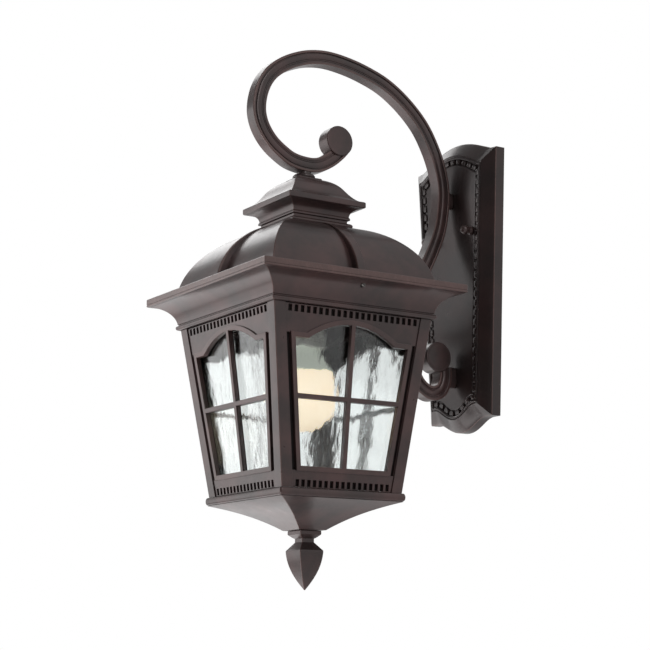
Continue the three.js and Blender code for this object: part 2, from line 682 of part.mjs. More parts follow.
function slab(shape, front, thickness) {
  const settings = { depth: thickness, bevelEnabled: false, curveSegments: 8 };
  const geometry = new THREE.ExtrudeGeometry(shape, settings);
  const toFace = new THREE.Matrix4().set(
    1, 0, 0, 0,
    0, -taper, -1, -halfAt(0) + front + thickness,
    0, 1, 0, 0,
    0, 0, 0, 1);
  return geometry.applyMatrix4(toFace);
}
const outlineOf = (points) => new THREE.Shape(points.map(([x, z]) => point(x, z)));
const mirrored = (points) => points.map(([x, z]) => [-x, z]).reverse();

// The arch of one light, from its outer edge up to the middle bar.
function archPoints(edge, barHalf) {
  const right = bend([archHalf, archFoot], [archHalf * 0.76, archFoot + archRise * 0.5],
    [archHalf * 0.4, archFoot + archRise], [0, archFoot + archRise], 9);
  const arch = right.filter(([x]) => x > barHalf + 1);
  return [[edge(archFoot), archFoot], ...arch, [barHalf, archFoot + archRise - 0.1]];
}

// One of the four lights between the bars: side -1 or 1 across, upper or lower.
function light(side, upper) {
  const barHalf = barWidth / 2;
  const edge = (z) => edgeAt(z, postWidth + grooveWidth + sashWidth);
  const low = upper ? crossHeight + barHalf : sillTop;
  const points = [[barHalf, low], [edge(low), low]];
  if (upper) points.push(...archPoints(edge, barHalf));
  else points.push([edge(crossHeight - barHalf), crossHeight - barHalf], [barHalf, crossHeight - barHalf]);
  return outlineOf(side > 0 ? points : mirrored(points));
}

const crossHeight = (sillTop + archFoot + archRise) / 2 - 3;
const panelEdge = (z) => edgeAt(z, postWidth + gap);
const panelFoot = cageBottom + gap;
const panelHead = cageTop - gap;
const panelOutline = outlineOf([
  [-panelEdge(panelFoot), panelFoot], [panelEdge(panelFoot), panelFoot],
  [panelEdge(panelHead), panelHead], [-panelEdge(panelHead), panelHead],
]);

// The dark channel between a post and the sash.
function groove(side) {
  const outer = (z) => panelEdge(z) - 0.6;
  const inner = (z) => panelEdge(z) - grooveWidth;
  const low = sillTop - 4;
  const high = archFoot + 4;
  const points = [[inner(low), low], [outer(low), low], [outer(high), high], [inner(high), high]];
  return outlineOf(side > 0 ? points : mirrored(points));
}

function slotRow(bottom, reachAcross, count) {
  const pitch = (2 * reachAcross) / count;
  const width = pitch * slotShare;
  return Array.from({ length: count }, (_, i) => {
    const x = -reachAcross + (i + 0.5) * pitch;
    return outlineOf([[x - width / 2, bottom], [x + width / 2, bottom], [x + width / 2, bottom + slotHeight],
      [x - width / 2, bottom + slotHeight]]);
  });
}

const cutBefore = 2; // how far a cutter starts in front of the face that it cuts
function panelGeometry() {
  const through = [-1, 1].flatMap((side) => [light(side, false), light(side, true)]);
  const shallow = [
    groove(-1), groove(1),
    ...slotRow(cageTop - slotHeight - 1.6, panelEdge(cageTop - 8) - 1.4, slotCount),
    ...slotRow(cageBottom + 1.6, panelEdge(cageBottom) - 1.4, slotCount - 5),
  ];
  const thickness = panelFront + panelBack;
  return cut(
    slab(panelOutline, panelSetback, thickness),
    mergeGeometries(through.map((shape) => slab(shape, panelSetback - cutBefore, thickness + 2 * cutBefore))),
    mergeGeometries(shallow.map((shape) => slab(shape, panelSetback - cutBefore, cutBefore + panelFront))),
  );
}

const glassTop = cageTop - 5;
const glassBottom = cageBottom + 5;
const glassFront = panelInner + gap;
const glassEdge = (z) => edgeAt(z, postWidth);
const glassOutline = outlineOf([
  [-glassEdge(glassBottom), glassBottom], [glassEdge(glassBottom), glassBottom],
  [glassEdge(glassTop), glassTop], [-glassEdge(glassTop), glassTop],
]);
// A clip lies on the back of the glass at its head and steps forward over the glass's edge.
const clipFoot = glassTop - 9;
const clipBack = glassFront + glassThickness + gap;
const clipTop = glassTop + 2.4;
const clipBand = outlineOf([
  [-clipWidth / 2, clipFoot], [clipWidth / 2, clipFoot], [clipWidth / 2, clipTop], [-clipWidth / 2, clipTop],
]);
const clipStep = outlineOf([
  [-clipWidth / 2, glassTop + gap], [clipWidth / 2, glassTop + gap],
  [clipWidth / 2, clipTop], [-clipWidth / 2, clipTop],
]);

["front", "right", "back", "left"].forEach((side, i) => {
  const face = new THREE.Group();
  face.rotation.z = quarterTurns[i];
  lantern.add(face);
  add(face, "window_panel_" + side, panelGeometry(), bronze);
  add(face, "glass_" + side, slab(glassOutline, glassFront, glassThickness), waterGlass);
  const clip = join(slab(clipBand, clipBack, clipThickness),
    slab(clipStep, glassFront, glassThickness + gap + clipThickness / 2));
  add(face, "glass_clip_" + side, clip, steel);
});

// ---- cage: base frame, bar and pan ----
const baseOpening = cageBottomHalf - 9;
const rimRound = bend([baseHalf - 1.6, baseBottom], [baseHalf + 0.5, baseBottom], [baseHalf + 0.5, baseTop],
  [baseHalf - 1.6, baseTop], 6);
add(lantern, "base_frame", squareTurned([
  [baseOpening, baseBottom], ...rimRound, [baseOpening, baseTop], [baseOpening, baseBottom],
]), bronze);
const barTop = baseTop + gap + baseBarHeight;
const studHole = finialStudRadius + holeClearance;
add(lantern, "base_bar", cut(
  block(-baseOpening - 2, baseOpening + 2, -baseBarHalf, baseBarHalf, baseTop + gap, barTop),
  rod(studHole, [0, 0, baseTop - 1], [0, 0, barTop + 1]),
), steel);
const panHalf = baseHalf - 2;
const panAt = (share, drop, lift) => [
  panFootHalf + (panHalf - panFootHalf) * share - lift * 0.4, panTop - panHeight * drop + lift];
const panCurve = (lift) => bend(
  [panHalf - lift, panTop - 0.4 + lift], panAt(0.64, 0.23, lift),
  panAt(0.325, 0.5, lift), [panFootHalf, panBottom + lift], 9);
add(lantern, "pan", cut(
  squareTurned([[0, panBottom], ...[...panCurve(0)].reverse(), [panHalf, panTop], [0, panTop]]),
  squareTurned([[0, panBottom + panWall], ...[...panCurve(panWall)].reverse(), [0, panTop + panWall]]),
  rod(studHole, [0, 0, panBottom - 1], [0, 0, panBottom + 10]),
), bronze);

// ---- finial, its stud and nut ----
// The drop, its neck and its head, as shares of the finial's half width and height.
const finialProfile = [
  [0, 0], [0.18, 0.046], [0.39, 0.158], [0.6, 0.285], [0.775, 0.415], [0.91, 0.527], [1, 0.643], [1, 0.671],
  [0.85, 0.71], [0.64, 0.763], [0.575, 0.83], [0.657, 0.889], [0.82, 0.924], [0.88, 0.942], [0.88, 0.991],
  [0.836, 1], [0, 1],
].map(([x, z]) => [x * finialHalf, finialTip + z * finialHeight]);
const studBottom = finialTop - finialStudDepth;
add(lantern, "finial", cut(
  squareTurned(finialProfile),
  rod(finialStudRadius + gap, [0, 0, studBottom - gap], [0, 0, finialTop + 1]),
), bronze);
const finialNutBottom = barTop + gap;
const finialNutTop = finialNutBottom + finialNutHeight;
add(lantern, "finial_stud", rod(finialStudRadius, [0, 0, studBottom], [0, 0, finialNutTop + 2.5]), steel);
add(lantern, "finial_nut", cut(
  turned([
    [0, finialNutBottom], [finialNutRadius, finialNutBottom],
    [finialNutRadius, finialNutTop], [0, finialNutTop],
  ], 6),
  rod(studHole, [0, 0, barTop - 1], [0, 0, finialNutTop + 1]),
), brass);

// ---- lampholder ----
const sleeveBottom = socketTop - socketCapSleeve;
const sleeveRadius = socketRadius + socketCapWall;
add(lantern, "socket_cap", cut(
  turned([[0, sleeveBottom], [sleeveRadius, sleeveBottom], [sleeveRadius, socketTop - 3],
    [sleeveRadius - 3.5, socketTop], [0, socketTop]]),
  turned([[0, sleeveBottom - 1], [socketRadius + gap, sleeveBottom - 1],
    [socketRadius + gap, socketTop - socketCapHeight], [0, socketTop - socketCapHeight]]),
  rod(nippleRoom, [0, 0, sleeveBottom - 2], [0, 0, socketTop + 1], 24),
), brass);
const threadOuter = socketRadius - socketWall;
add(lantern, "socket_body", cut(
  turned([[0, socketBottom], [socketRadius - 0.6, socketBottom], [socketRadius, socketBottom + 0.8],
    [socketRadius, bodyTop], [0, bodyTop]]),
  turned([[0, socketBottom - 1], [threadOuter, socketBottom - 1], [threadOuter, webBottom], [0, webBottom]]),
  turned([[0, webTop], [threadOuter, webTop], [threadOuter, bodyTop + 1], [0, bodyTop + 1]]),
  rod(leadWayRadius, [0, 0, webBottom - 1], [0, 0, webTop + 1]),
), porcelain);
const threadInner = lampCapRadius + threadClearance;
const threadRadius = threadInner + threadWall;
const threadTop = webBottom - gap;
const shellHole = 5;
add(lantern, "socket_thread", turned([
  [threadInner, socketBottom + 2], [threadRadius, socketBottom + 2], [threadRadius, threadTop],
  [shellHole, threadTop], [shellHole, threadTop - threadWall], [threadInner, threadTop - threadWall],
  [threadInner, socketBottom + 2],
]), brass);
const contactHeight = 4;
const lampCapTop = threadTop - contactHeight;
add(lantern, "socket_contact", rod(shellHole / 2, [0, 0, lampCapTop + gap], [0, 0, threadTop - gap]), brass);

// ---- lamp, base up ----
const lampCapBottom = lampCapTop - lampCapLength;
const neckBottom = lampCapBottom - lampNeckLength;
const globeBottom = lampCapTop - lampLength;
add(lantern, "bulb_cap", turned([
  [0, lampCapBottom], [lampCapRadius, lampCapBottom], [lampCapRadius, lampCapTop - 5],
  [8.5, lampCapTop - 2.4], [4, lampCapTop], [0, lampCapTop],
]), steel);
const neckRadius = lampRadius * 0.88;
const neckTop = lampCapBottom - gap;
add(lantern, "bulb_neck", turned([
  [0, neckBottom], ...bend([neckRadius, neckBottom], [neckRadius * 0.82, neckBottom + 10],
    [lampCapRadius + 3, neckTop - 10], [lampCapRadius + 1.4, neckTop], 6), [0, neckTop],
]), lampShell);
const globeTop = neckBottom - gap;
add(lantern, "bulb_globe", turned([
  [0, globeBottom],
  ...bend([0, globeBottom], [lampRadius * 0.62, globeBottom], [lampRadius, globeBottom + 13],
    [lampRadius, globeBottom + 29], 8).slice(1),
  ...bend([lampRadius, globeBottom + 29], [lampRadius, globeBottom + 40], [neckRadius + 1.4, globeTop - 8],
    [neckRadius, globeTop], 5).slice(1), [0, globeTop],
]), diffuser);

export default part;
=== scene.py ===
import math

import bmesh
import bpy
from mathutils import Matrix, Vector, noise


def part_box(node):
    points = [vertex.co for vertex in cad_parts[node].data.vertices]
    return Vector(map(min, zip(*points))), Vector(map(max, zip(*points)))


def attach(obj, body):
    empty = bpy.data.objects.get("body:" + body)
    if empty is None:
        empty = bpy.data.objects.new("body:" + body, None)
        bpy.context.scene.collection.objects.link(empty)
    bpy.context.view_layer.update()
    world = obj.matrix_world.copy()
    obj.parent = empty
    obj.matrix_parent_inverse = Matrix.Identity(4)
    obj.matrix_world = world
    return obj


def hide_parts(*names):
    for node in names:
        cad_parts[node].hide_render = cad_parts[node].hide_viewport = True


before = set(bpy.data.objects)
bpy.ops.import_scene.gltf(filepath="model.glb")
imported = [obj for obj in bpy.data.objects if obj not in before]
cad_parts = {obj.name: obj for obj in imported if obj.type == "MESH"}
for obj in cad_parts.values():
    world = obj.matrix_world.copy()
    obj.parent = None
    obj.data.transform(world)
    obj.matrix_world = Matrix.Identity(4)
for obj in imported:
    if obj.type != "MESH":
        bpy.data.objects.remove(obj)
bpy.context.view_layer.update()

scene = bpy.context.scene
mm = 0.001
print("frame loaded:", len(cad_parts), "nodes")

# The lantern's own measures, from the frame.
finialLow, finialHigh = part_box("finial")
axisY = (finialLow.y + finialHigh.y) / 2  # the lantern's vertical axis
axis = Vector((0, axisY, 0))
postLow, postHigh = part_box("corner_post_1")
cageTop, cageBottom = postHigh.z, postLow.z
postPoints = [v.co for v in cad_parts["corner_post_1"].data.vertices]
cageTopHalf = postHigh.x
cageBottomHalf = max(p.x for p in postPoints if p.z < cageBottom + 0.5 * mm)
taper = (cageTopHalf - cageBottomHalf) / (cageTop - cageBottom)


def halfAt(height):
    return cageBottomHalf + taper * (height - cageBottom)


# A node's socket; arithmetic on it adds Math nodes.
class Wire:
    def __init__(self, shop, socket):
        self.shop = shop
        self.socket = socket

    def math(self, operation, other, swap=False):
        first, second = (other, self) if swap else (self, other)
        return self.shop.node("ShaderNodeMath", {"operation": operation}, {0: first, 1: second})

    def __add__(self, other):
        return self.math("ADD", other)

    def __radd__(self, other):
        return self.math("ADD", other, True)

    def __sub__(self, other):
        return self.math("SUBTRACT", other)

    def __rsub__(self, other):
        return self.math("SUBTRACT", other, True)

    def __mul__(self, other):
        return self.math("MULTIPLY", other)

    def __rmul__(self, other):
        return self.math("MULTIPLY", other, True)


# The nodes of one material, or of the world.
class Finish:
    def __init__(self, holder):
        self.holder = holder
        holder.use_nodes = True
        self.tree = holder.node_tree
        self.tree.nodes.clear()

    def node(self, kind, settings, sockets, output=0):
        made = self.tree.nodes.new(kind)
        for key, value in settings.items():
            if key != "stops":
                setattr(made, key, value)
                continue
            ramp = made.color_ramp.elements
            while len(ramp) < len(value):
                ramp.new(0.5)
            for stop, (place, shade) in zip(ramp, value):
                stop.position = place
                stop.color = (shade, shade, shade, 1)
        for key, value in sockets.items():
            if isinstance(value, Wire):
                self.tree.links.new(value.socket, made.inputs[key])
            else:
                made.inputs[key].default_value = value
        return Wire(self, made.outputs[output])

    def place(self, stretch=(1, 1, 1)):
        spot = self.node("ShaderNodeTexCoord", {}, {}, "Object")
        return self.node("ShaderNodeVectorMath", {"operation": "MULTIPLY"}, {0: spot, 1: stretch})

    def grain(self, scale, detail=3.0, stretch=(1, 1, 1), roughness=0.55):
        sockets = {"Vector": self.place(stretch), "Scale": scale, "Detail": detail, "Roughness": roughness}
        return self.node("ShaderNodeTexNoise", {}, sockets)

    def ramp(self, value, *stops):
        return self.node("ShaderNodeValToRGB", {"stops": stops}, {0: value})

    def mix(self, factor, first, second):
        return self.node("ShaderNodeMix", {"data_type": "RGBA"}, {0: factor, 6: first, 7: second}, 2)

    def bump(self, height, distance, strength=1.0):
        return self.node("ShaderNodeBump", {}, {"Height": height, "Distance": distance, "Strength": strength})

    def surface(self, **sockets):
        named = {key.replace("_", " "): value for key, value in sockets.items()}
        shader = self.node("ShaderNodeBsdfPrincipled", {}, named)
        end = self.tree.nodes.new("ShaderNodeOutputMaterial")
        self.tree.links.new(shader.socket, end.inputs["Surface"])
        return self.holder


def newFinish(name):
    return Finish(bpy.data.materials.new(name))


def tone(red, green, blue):
    return (red, green, blue, 1.0)


def dimmed(colour, share):
    return tone(*(c * share for c in colour[:3]))


bronzeLook = {
    "dark": tone(0.046, 0.031, 0.030),
    "warm": tone(0.088, 0.047, 0.045),
    # the rubbed colour: real rub-through on raised edges, and also a painted highlight where they catch the
    # light
    "rubbedAndHighlit": tone(0.190, 0.108, 0.096),
    # scales of the grain, per metre
    "patches": 26.0,
    "cloud": 90,
    "cast": 260,
    "flecks": 420,
    "peel": 1500.0,
    "peelDepth": 0.00002,
    "roughness": 0.31,
    "metallic": 0.3,
    "coat": 0.3,
    "coatRoughness": 0.18,
}


# The second share mixes in the rubbed colour, partly real rub-through and partly painted highlight; a depth
# below 1 darkens the base colours as painted shade.
def bronzeFinish(name, warmth, rubAndHighlight, depth=1.0):
    look = bronzeLook
    shop = newFinish(name)
    patches = shop.ramp(shop.grain(look["patches"], 5), (0.38, 0), (0.68, 1))
    flecks = shop.ramp(shop.grain(look["flecks"], 4, (1, 1, 0.6)), (0.5, 0), (0.72, 1))
    body = shop.mix(patches * warmth, dimmed(look["dark"], depth), dimmed(look["warm"], depth))
    colour = shop.mix(flecks * rubAndHighlight * 0.4 + rubAndHighlight * 0.6, body, look["rubbedAndHighlit"])
    peel = shop.grain(look["peel"], 2)
    cast = shop.grain(look["cast"], 3)
    return shop.surface(
        Base_Color=colour,
        Metallic=look["metallic"],
        Roughness=look["roughness"] + (shop.grain(look["cloud"], 4) - 0.5) * 0.16,
        Coat_Weight=look["coat"],
        Coat_Roughness=look["coatRoughness"],
        Normal=shop.bump(peel + cast * 1.6, look["peelDepth"]),
    )


# A near-black matt sheet behind the slots and grooves: painted shade standing in for their dark depths.
def recessShadeFinish():
    shop = newFinish("painted_recess_shade")
    dust = shop.grain(380, 4)
    return shop.surface(
        Base_Color=shop.mix(dust, tone(0.008, 0.006, 0.006), tone(0.02, 0.015, 0.014)),
        Roughness=0.6 + dust * 0.2,
        Specular_IOR_Level=0.2,
    )


def steelFinish(name, colour, roughness):
    shop = newFinish(name)
    streaks = shop.grain(900, 3, (1, 1, 0.08))
    cloud = shop.grain(160, 4)
    return shop.surface(
        Base_Color=shop.mix(cloud, dimmed(colour, 0.72), colour),
        Metallic=1.0,
        Roughness=roughness + (streaks - 0.5) * 0.22,
        Normal=shop.bump(streaks, 0.00003),
    )


def porcelainFinish():
    shop = newFinish("glazed_porcelain")
    specks = shop.ramp(shop.grain(1400, 2), (0.66, 0), (0.78, 1))
    return shop.surface(
        Base_Color=shop.mix(specks * 0.35, tone(0.66, 0.64, 0.58), tone(0.36, 0.32, 0.26)),
        Roughness=0.16 + shop.grain(120) * 0.1,
        Coat_Weight=0.5,
        Coat_Roughness=0.05,
        Normal=shop.bump(shop.grain(300, 2), 0.00003),
    )


glassLook = {
    "dim": tone(0.85, 0.885, 0.88),
    "clear": tone(0.945, 0.965, 0.96),
    # scales of the grain, per metre
    "streaks": 190,
    "seeds": 700,
    "waterDepth": 0.0005,
    "waterStrength": 0.55,
    "index": 1.47,
    "gloss": 0.12,
}


def waterGlassFinish():
    look = glassLook
    shop = newFinish("water_glass")
    streaks = shop.grain(look["streaks"], 5, (1, 1, 0.42))
    seeds = shop.ramp(shop.grain(look["seeds"], 1, (1, 1, 0.5)), (0.70, 0), (0.76, 1))
    return shop.surface(
        Base_Color=shop.mix(streaks, look["dim"], look["clear"]),
        Roughness=0.0,
        IOR=look["index"],
        Specular_IOR_Level=look["gloss"],
        Transmission_Weight=1.0,
        Normal=shop.bump(streaks + seeds * 0.08, look["waterDepth"], look["waterStrength"]),
    )


def leadFinish():
    shop = newFinish("lead_cover")
    dust = shop.grain(500, 4)
    return shop.surface(
        Base_Color=shop.mix(dust, tone(0.012, 0.012, 0.013), tone(0.03, 0.03, 0.032)),
        Roughness=0.5 + dust * 0.2,
        Normal=shop.bump(shop.grain(2600, 2), 0.00004),
    )


def screwGreenFinish():
    shop = newFinish("green_lacquer")
    wear = shop.ramp(shop.grain(900, 4), (0.62, 0), (0.7, 1))
    return shop.surface(
        Base_Color=shop.mix(wear, tone(0.02, 0.19, 0.06), tone(0.35, 0.36, 0.33)),
        Metallic=0.7,
        Roughness=0.32 + wear * 0.15,
    )


lampLook = {
    "shell": (tone(0.52, 0.56, 0.48), tone(0.60, 0.63, 0.55)),
    "shellGlow": (tone(0.86, 0.93, 0.80), tone(0.95, 1.0, 0.88)),
    "shellPower": 0.26,
    "diffuser": (tone(0.8, 0.74, 0.64), tone(0.86, 0.81, 0.72)),
    "diffuserGlow": (tone(1.0, 0.77, 0.52), tone(1.0, 0.85, 0.64)),
    "diffuserPower": 0.86,
}


def lampShellFinish():
    shop = newFinish("lamp_shell")
    cloud = shop.grain(60, 3)
    return shop.surface(
        Base_Color=shop.mix(cloud, *lampLook["shell"]),
        Roughness=0.42 + cloud * 0.1,
        Emission_Color=shop.mix(cloud, *lampLook["shellGlow"]),
        Emission_Strength=lampLook["shellPower"],
        Normal=shop.bump(shop.grain(1200, 2), 0.00002),
    )


def diffuserFinish():
    shop = newFinish("lit_diffuser")
    cloud = shop.grain(45, 3)
    return shop.surface(
        Base_Color=shop.mix(cloud, *lampLook["diffuser"]),
        Roughness=0.45,
        Emission_Color=shop.mix(cloud, *lampLook["diffuserGlow"]),
        Emission_Strength=lampLook["diffuserPower"],
    )


bronze = bronzeFinish("oil_rubbed_bronze", 1.0, 0.0)
# Lighter copper-brown for raised edges: partly real rub-through, partly a painted highlight where the edges
# catch the light.
rubbedAndHighlit = bronzeFinish("rubbed_edges_and_painted_highlight", 1.0, 0.55)
# The sash takes a little of the rubbed colour, partly a painted highlight on its raised bars and edges.
sashBronze = bronzeFinish("sash_bronze", 1.0, 0.18)
# The plate is the lantern's own bronze with its base colours darkened to 0.6: painted shade where the lantern
# shades it.
plateShadedBronze = bronzeFinish("plate_bronze_painted_shade", 0.75, 0.0, 0.6)
recessShade = recessShadeFinish()
steel = steelFinish("zinc_plate", tone(0.60, 0.60, 0.57), 0.34)
darkSteel = steelFinish("dark_zinc", tone(0.26, 0.25, 0.24), 0.3)
brass = steelFinish("satin_brass", tone(0.62, 0.43, 0.19), 0.3)
lampCapMetal = steelFinish("lamp_cap_metal", tone(0.70, 0.70, 0.68), 0.25)
porcelain = porcelainFinish()
waterGlass = waterGlassFinish()
leadCover = leadFinish()
greenLacquer = screwGreenFinish()
lampShell = lampShellFinish()
litDiffuser = diffuserFinish()
print("finishes made:", len(bpy.data.materials))


# Points along a curve that two pulls bend, both ends included.
def bend(start, pullA, pullB, end, steps):
    ties = (start, pullA, pullB, end)
    points = []
    for i in range(steps + 1):
        t = i / steps
        weights = ((1 - t) ** 3, 3 * t * (1 - t) ** 2, 3 * t * t * (1 - t), t ** 3)
        points.append(tuple(sum(w * p[k] for w, p in zip(weights, ties)) for k in (0, 1)))
    return points


# A centripetal curve through all the points.
def smoothPath(points, perSpan):
    line = [2 * points[0] - points[1], *points, 2 * points[-1] - points[-2]]
    path = []
    for a, b, c, d in zip(line, line[1:], line[2:], line[3:]):
        ta, tb, tc = ((q - p).length ** 0.5 for p, q in ((a, b), (b, c), (c, d)))
        leave = tb * ((b - a) / ta - (c - a) / (ta + tb) + (c - b) / tb)
        arrive = tb * ((c - b) / tb - (d - b) / (tb + tc) + (d - c) / tc)
        for i in range(perSpan):
            t = i / perSpan
            path.append(
                b * (2 * t ** 3 - 3 * t * t + 1) + leave * (t ** 3 - 2 * t * t + t)
                + c * (3 * t * t - 2 * t ** 3) + arrive * (t ** 3 - t * t)
            )
    path.append(points[-1].copy())
    return path


# A filled outline with holes, pushed out evenly to both sides of its plane, its edges bevelled.
def filledShape(outlines, thickness, bevel):
    curve = bpy.data.curves.new("outline", "CURVE")
    curve.dimensions = "2D"
    curve.fill_mode = "BOTH"
    curve.extrude = thickness / 2 - bevel
    curve.bevel_depth = bevel
    curve.bevel_resolution = 1
    curve.offset = -bevel
    for points in outlines:
        spline = curve.splines.new("POLY")
        spline.points.add(len(points) - 1)
        for knot, (x, z) in zip(spline.points, points):
            knot.co = (x, z, 0, 1)
        spline.use_cyclic_u = True
    holder = bpy.data.objects.new("outline", curve)
    scene.collection.objects.link(holder)
    bpy.context.view_layer.update()
    mesh = bpy.data.meshes.new_from_object(holder.evaluated_get(bpy.context.evaluated_depsgraph_get()))
    bpy.data.objects.remove(holder)
    return mesh


# Joins rings of equal length with quads; around closes the last ring to the first.
def stitch(bm, rings, around=False, capped=False, mark=None):
    made = [[bm.verts.new(p) for p in ring] for ring in rings]
    count = len(rings[0])
    pairs = list(zip(made, made[1:]))
    if around:
        pairs.append((made[-1], made[0]))
    for r, (lower, upper) in enumerate(pairs):
        for i in range(count):
            j = (i + 1) % count
            face = bm.faces.new((lower[i], lower[j], upper[j], upper[i]))
            face.material_index = mark(r, i) if mark else 0
    if capped:
        bm.faces.new(list(reversed(made[0])))
        bm.faces.new(made[-1])
    return made


# A level square ring round the lantern's axis, with rounded corners.
def squareRing(half, height, corner, steps):
    radius = min(corner, half * 0.9)
    ring = []
    for k, (sx, sy) in enumerate(((1, 1), (-1, 1), (-1, -1), (1, -1))):
        for j in range(steps + 1):
            turn = math.radians(90) * (k + j / steps)
            x = sx * (half - radius) + radius * math.cos(turn)
            y = sy * (half - radius) + radius * math.sin(turn)
            ring.append(Vector((x, axisY + y, height)))
    return ring


def roundRing(radius, height, segments):
    turns = [2 * math.pi * i / segments for i in range(segments)]
    return [Vector((radius * math.cos(t), radius * math.sin(t), height)) for t in turns]


# A closed outline of (half, height) drawn round the lantern's axis with square corners.
def squareForm(bm, profile, corner=0.7 * mm, steps=4):
    # The corners' faces take a piece's second finish, on most pieces the rubbed colour: partly real wear,
    # partly a painted highlight along the corners.
    def onCorner(ring, side):
        return 1 if side % (steps + 1) < steps else 0

    stitch(bm, [squareRing(h, z, corner, steps) for h, z in profile], around=True, mark=onCorner)


# An outline of (radius, height) turned on the lantern's axis, or on the one that turn gives.
def roundForm(bm, profile, segments=48, turn=None, around=True):
    rings = [roundRing(max(r, 0), z, segments) for r, z in profile]
    if turn is None:
        turn = Matrix.Translation(axis)
    stitch(bm, [[turn @ p for p in ring] for ring in rings], around)


# Cleans the mesh and makes it a named piece that rides on its body and replaces its nodes.
def finishPiece(bm, name, body, finishes, nodes, crease=32, bevel=0, weighted=True):
    bmesh.ops.remove_doubles(bm, verts=bm.verts, dist=1e-6)
    bmesh.ops.dissolve_degenerate(bm, edges=bm.edges, dist=1e-7)
    bmesh.ops.recalc_face_normals(bm, faces=bm.faces)
    mesh = bpy.data.meshes.new(name)
    bm.to_mesh(mesh)
    bm.free()
    for finish in finishes:
        mesh.materials.append(finish)
    mesh.polygons.foreach_set("use_smooth", [True] * len(mesh.polygons))
    mesh.set_sharp_from_angle(angle=math.radians(crease))
    piece = bpy.data.objects.new(name, mesh)
    scene.collection.objects.link(piece)
    softenEdges(piece, bevel, weighted)
    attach(piece, body)
    if nodes:
        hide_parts(*nodes)
    return piece


def softenEdges(piece, bevel, weighted=True):
    if bevel:
        edge = piece.modifiers.new("edge", "BEVEL")
        edge.width = bevel
        edge.segments = 2
        edge.limit_method = "ANGLE"
        edge.angle_limit = math.radians(40)
    if weighted:
        normals = piece.modifiers.new("normals", "WEIGHTED_NORMAL")
        normals.keep_sharp = True


capLow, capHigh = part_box("cap")
capShape = {
    "half": capHigh.x,
    "neck": 32.8 * mm,
    "fasciaDrop": 27 * mm,
    "fascia": 6.2 * mm,
    "wall": 3.2 * mm,
    "corner": 0.6 * mm,
    # half widths and depths under the top, in millimetres
    "sweep": [(42.7, 26.8), (37.5, 25), (33.5, 19.6), (29.5, 13.6)],
    "shoulder": [(29.5, 13.6), (26.5, 9), (22.5, 4.6), (13.9, 1.5)],
    "seat": [(13.5, 1.4), (13.3, 0.4), (12.9, 0)],
    "hollow": [(5.3, 0), (5.3, 4.5), (19, 9), (24, 16)],
    # insets and rises of the fascia's lower edge, in millimetres, repeated at its upper edge
    "rim": [(0.9, 0), (0.2, 0.5), (0, 1.2)],
    # steps out from the neck and depths under the fascia, in millimetres
    "cove": [(4, 1), (0.4, 3.5), (0, 9)],
    "foot": [(0.5, 9.6), (0.9, 10.6), (0.9, 12), (-1.2, 12.6)],
}


def buildCap():
    s = capShape
    half, neck, bottom = s["half"], s["neck"], capLow.z
    ledge = capHigh.z - s["fasciaDrop"]
    under = ledge - s["fascia"]
    inner = neck - s["wall"]

    def hung(points):
        return [(x * mm, capHigh.z - drop * mm) for x, drop in points]

    def onNeck(points):
        return [(neck + x * mm, under - drop * mm) for x, drop in points]

    cove = bend((half - 1.2 * mm, under), *onNeck(s["cove"]), 14)
    foot = [*onNeck(s["foot"]), (neck - 1.4 * mm, bottom)]
    rim = [(half - x * mm, under + rise * mm) for x, rise in s["rim"]]
    rim += [(half - x * mm, ledge - rise * mm) for x, rise in reversed(s["rim"])]
    crown = [*bend(*hung(s["sweep"]), 16), *bend(*hung(s["shoulder"]), 16)[1:], *hung(s["seat"])]
    outside = [*reversed(foot), *reversed(cove), *rim, *crown]
    inside = [*hung(s["hollow"]), (inner, under - 2 * mm), (inner, bottom)]
    bm = bmesh.new()
    squareForm(bm, [*outside, *inside], s["corner"])
    finishPiece(bm, "cap_moulding", "mount", [bronze, rubbedAndHighlit], ["cap"])


roofLow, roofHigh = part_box("roof")
roofShape = {
    "topHalf": 34.4 * mm,
    "footHalf": 94 * mm,
    "wall": 2.4 * mm,
    "shoulder": 5 * mm,
    "bulge": (58 * mm, 2.5 * mm),  # where the upper curve pulls to: half width, depth
    "side": (4 * mm, 26 * mm),  # where the lower curve pulls to: inset, depth
    "steps": 40,
    "corner": 0.9 * mm,
    "bore": 5.3 * mm,
    "strapWidth": 9.5 * mm,
    "strapStart": 6 * mm,
    "strapThick": 0.7 * mm,
    "strapProud": 8 * mm,
    # across the strap: share of the half width, share of the stand-off
    "strap": [
        (-1, -0.6), (-1, 0.72), (-0.93, 0.93), (-0.8, 1), (0.8, 1), (0.93, 0.93), (1, 0.72), (1, -0.6),
    ],
}


def roofCurve(inset):
    s = roofShape
    shoulder = roofHigh.z - s["shoulder"]
    bulgeHalf, bulgeDrop = s["bulge"]
    sideInset, sideDrop = s["side"]
    return bend(
        (s["topHalf"] - inset, shoulder - inset * 0.6),
        (bulgeHalf - inset, shoulder - bulgeDrop - inset),
        (s["footHalf"] - sideInset - inset, shoulder - sideDrop - inset * 0.6),
        (s["footHalf"] - inset, roofLow.z),
        s["steps"],
    )


# A strap down the middle of each side, which stands off more towards the foot.
def addStraps(bm):
    s = roofShape
    start, half = s["topHalf"] + s["strapStart"], s["strapWidth"] / 2
    spine = [(x, z) for x, z in roofCurve(0) if x > start]

    # The straps' edges take the rubbed colour: partly real wear, partly a painted highlight.
    def onEdge(ring, side):
        return 1 if side in (1, 2, 4, 5) else 0

    for k in range(4):
        turn = Matrix.Translation(axis) @ Matrix.Rotation(k * math.pi / 2, 4, "Z")
        rings = []
        for i, (x, z) in enumerate(spine):
            share = max(0, (x - start) / (s["footHalf"] - start))
            lift = s["strapThick"] + s["strapProud"] * share ** 1.5
            rise = 0 if i == len(spine) - 1 else 0.8 * mm
            strip = [(x + lift * up, side * half, z + rise * max(up, 0)) for side, up in s["strap"]]
            rings.append([turn @ Vector(p) for p in strip])
        stitch(bm, rings, capped=True, mark=onEdge)


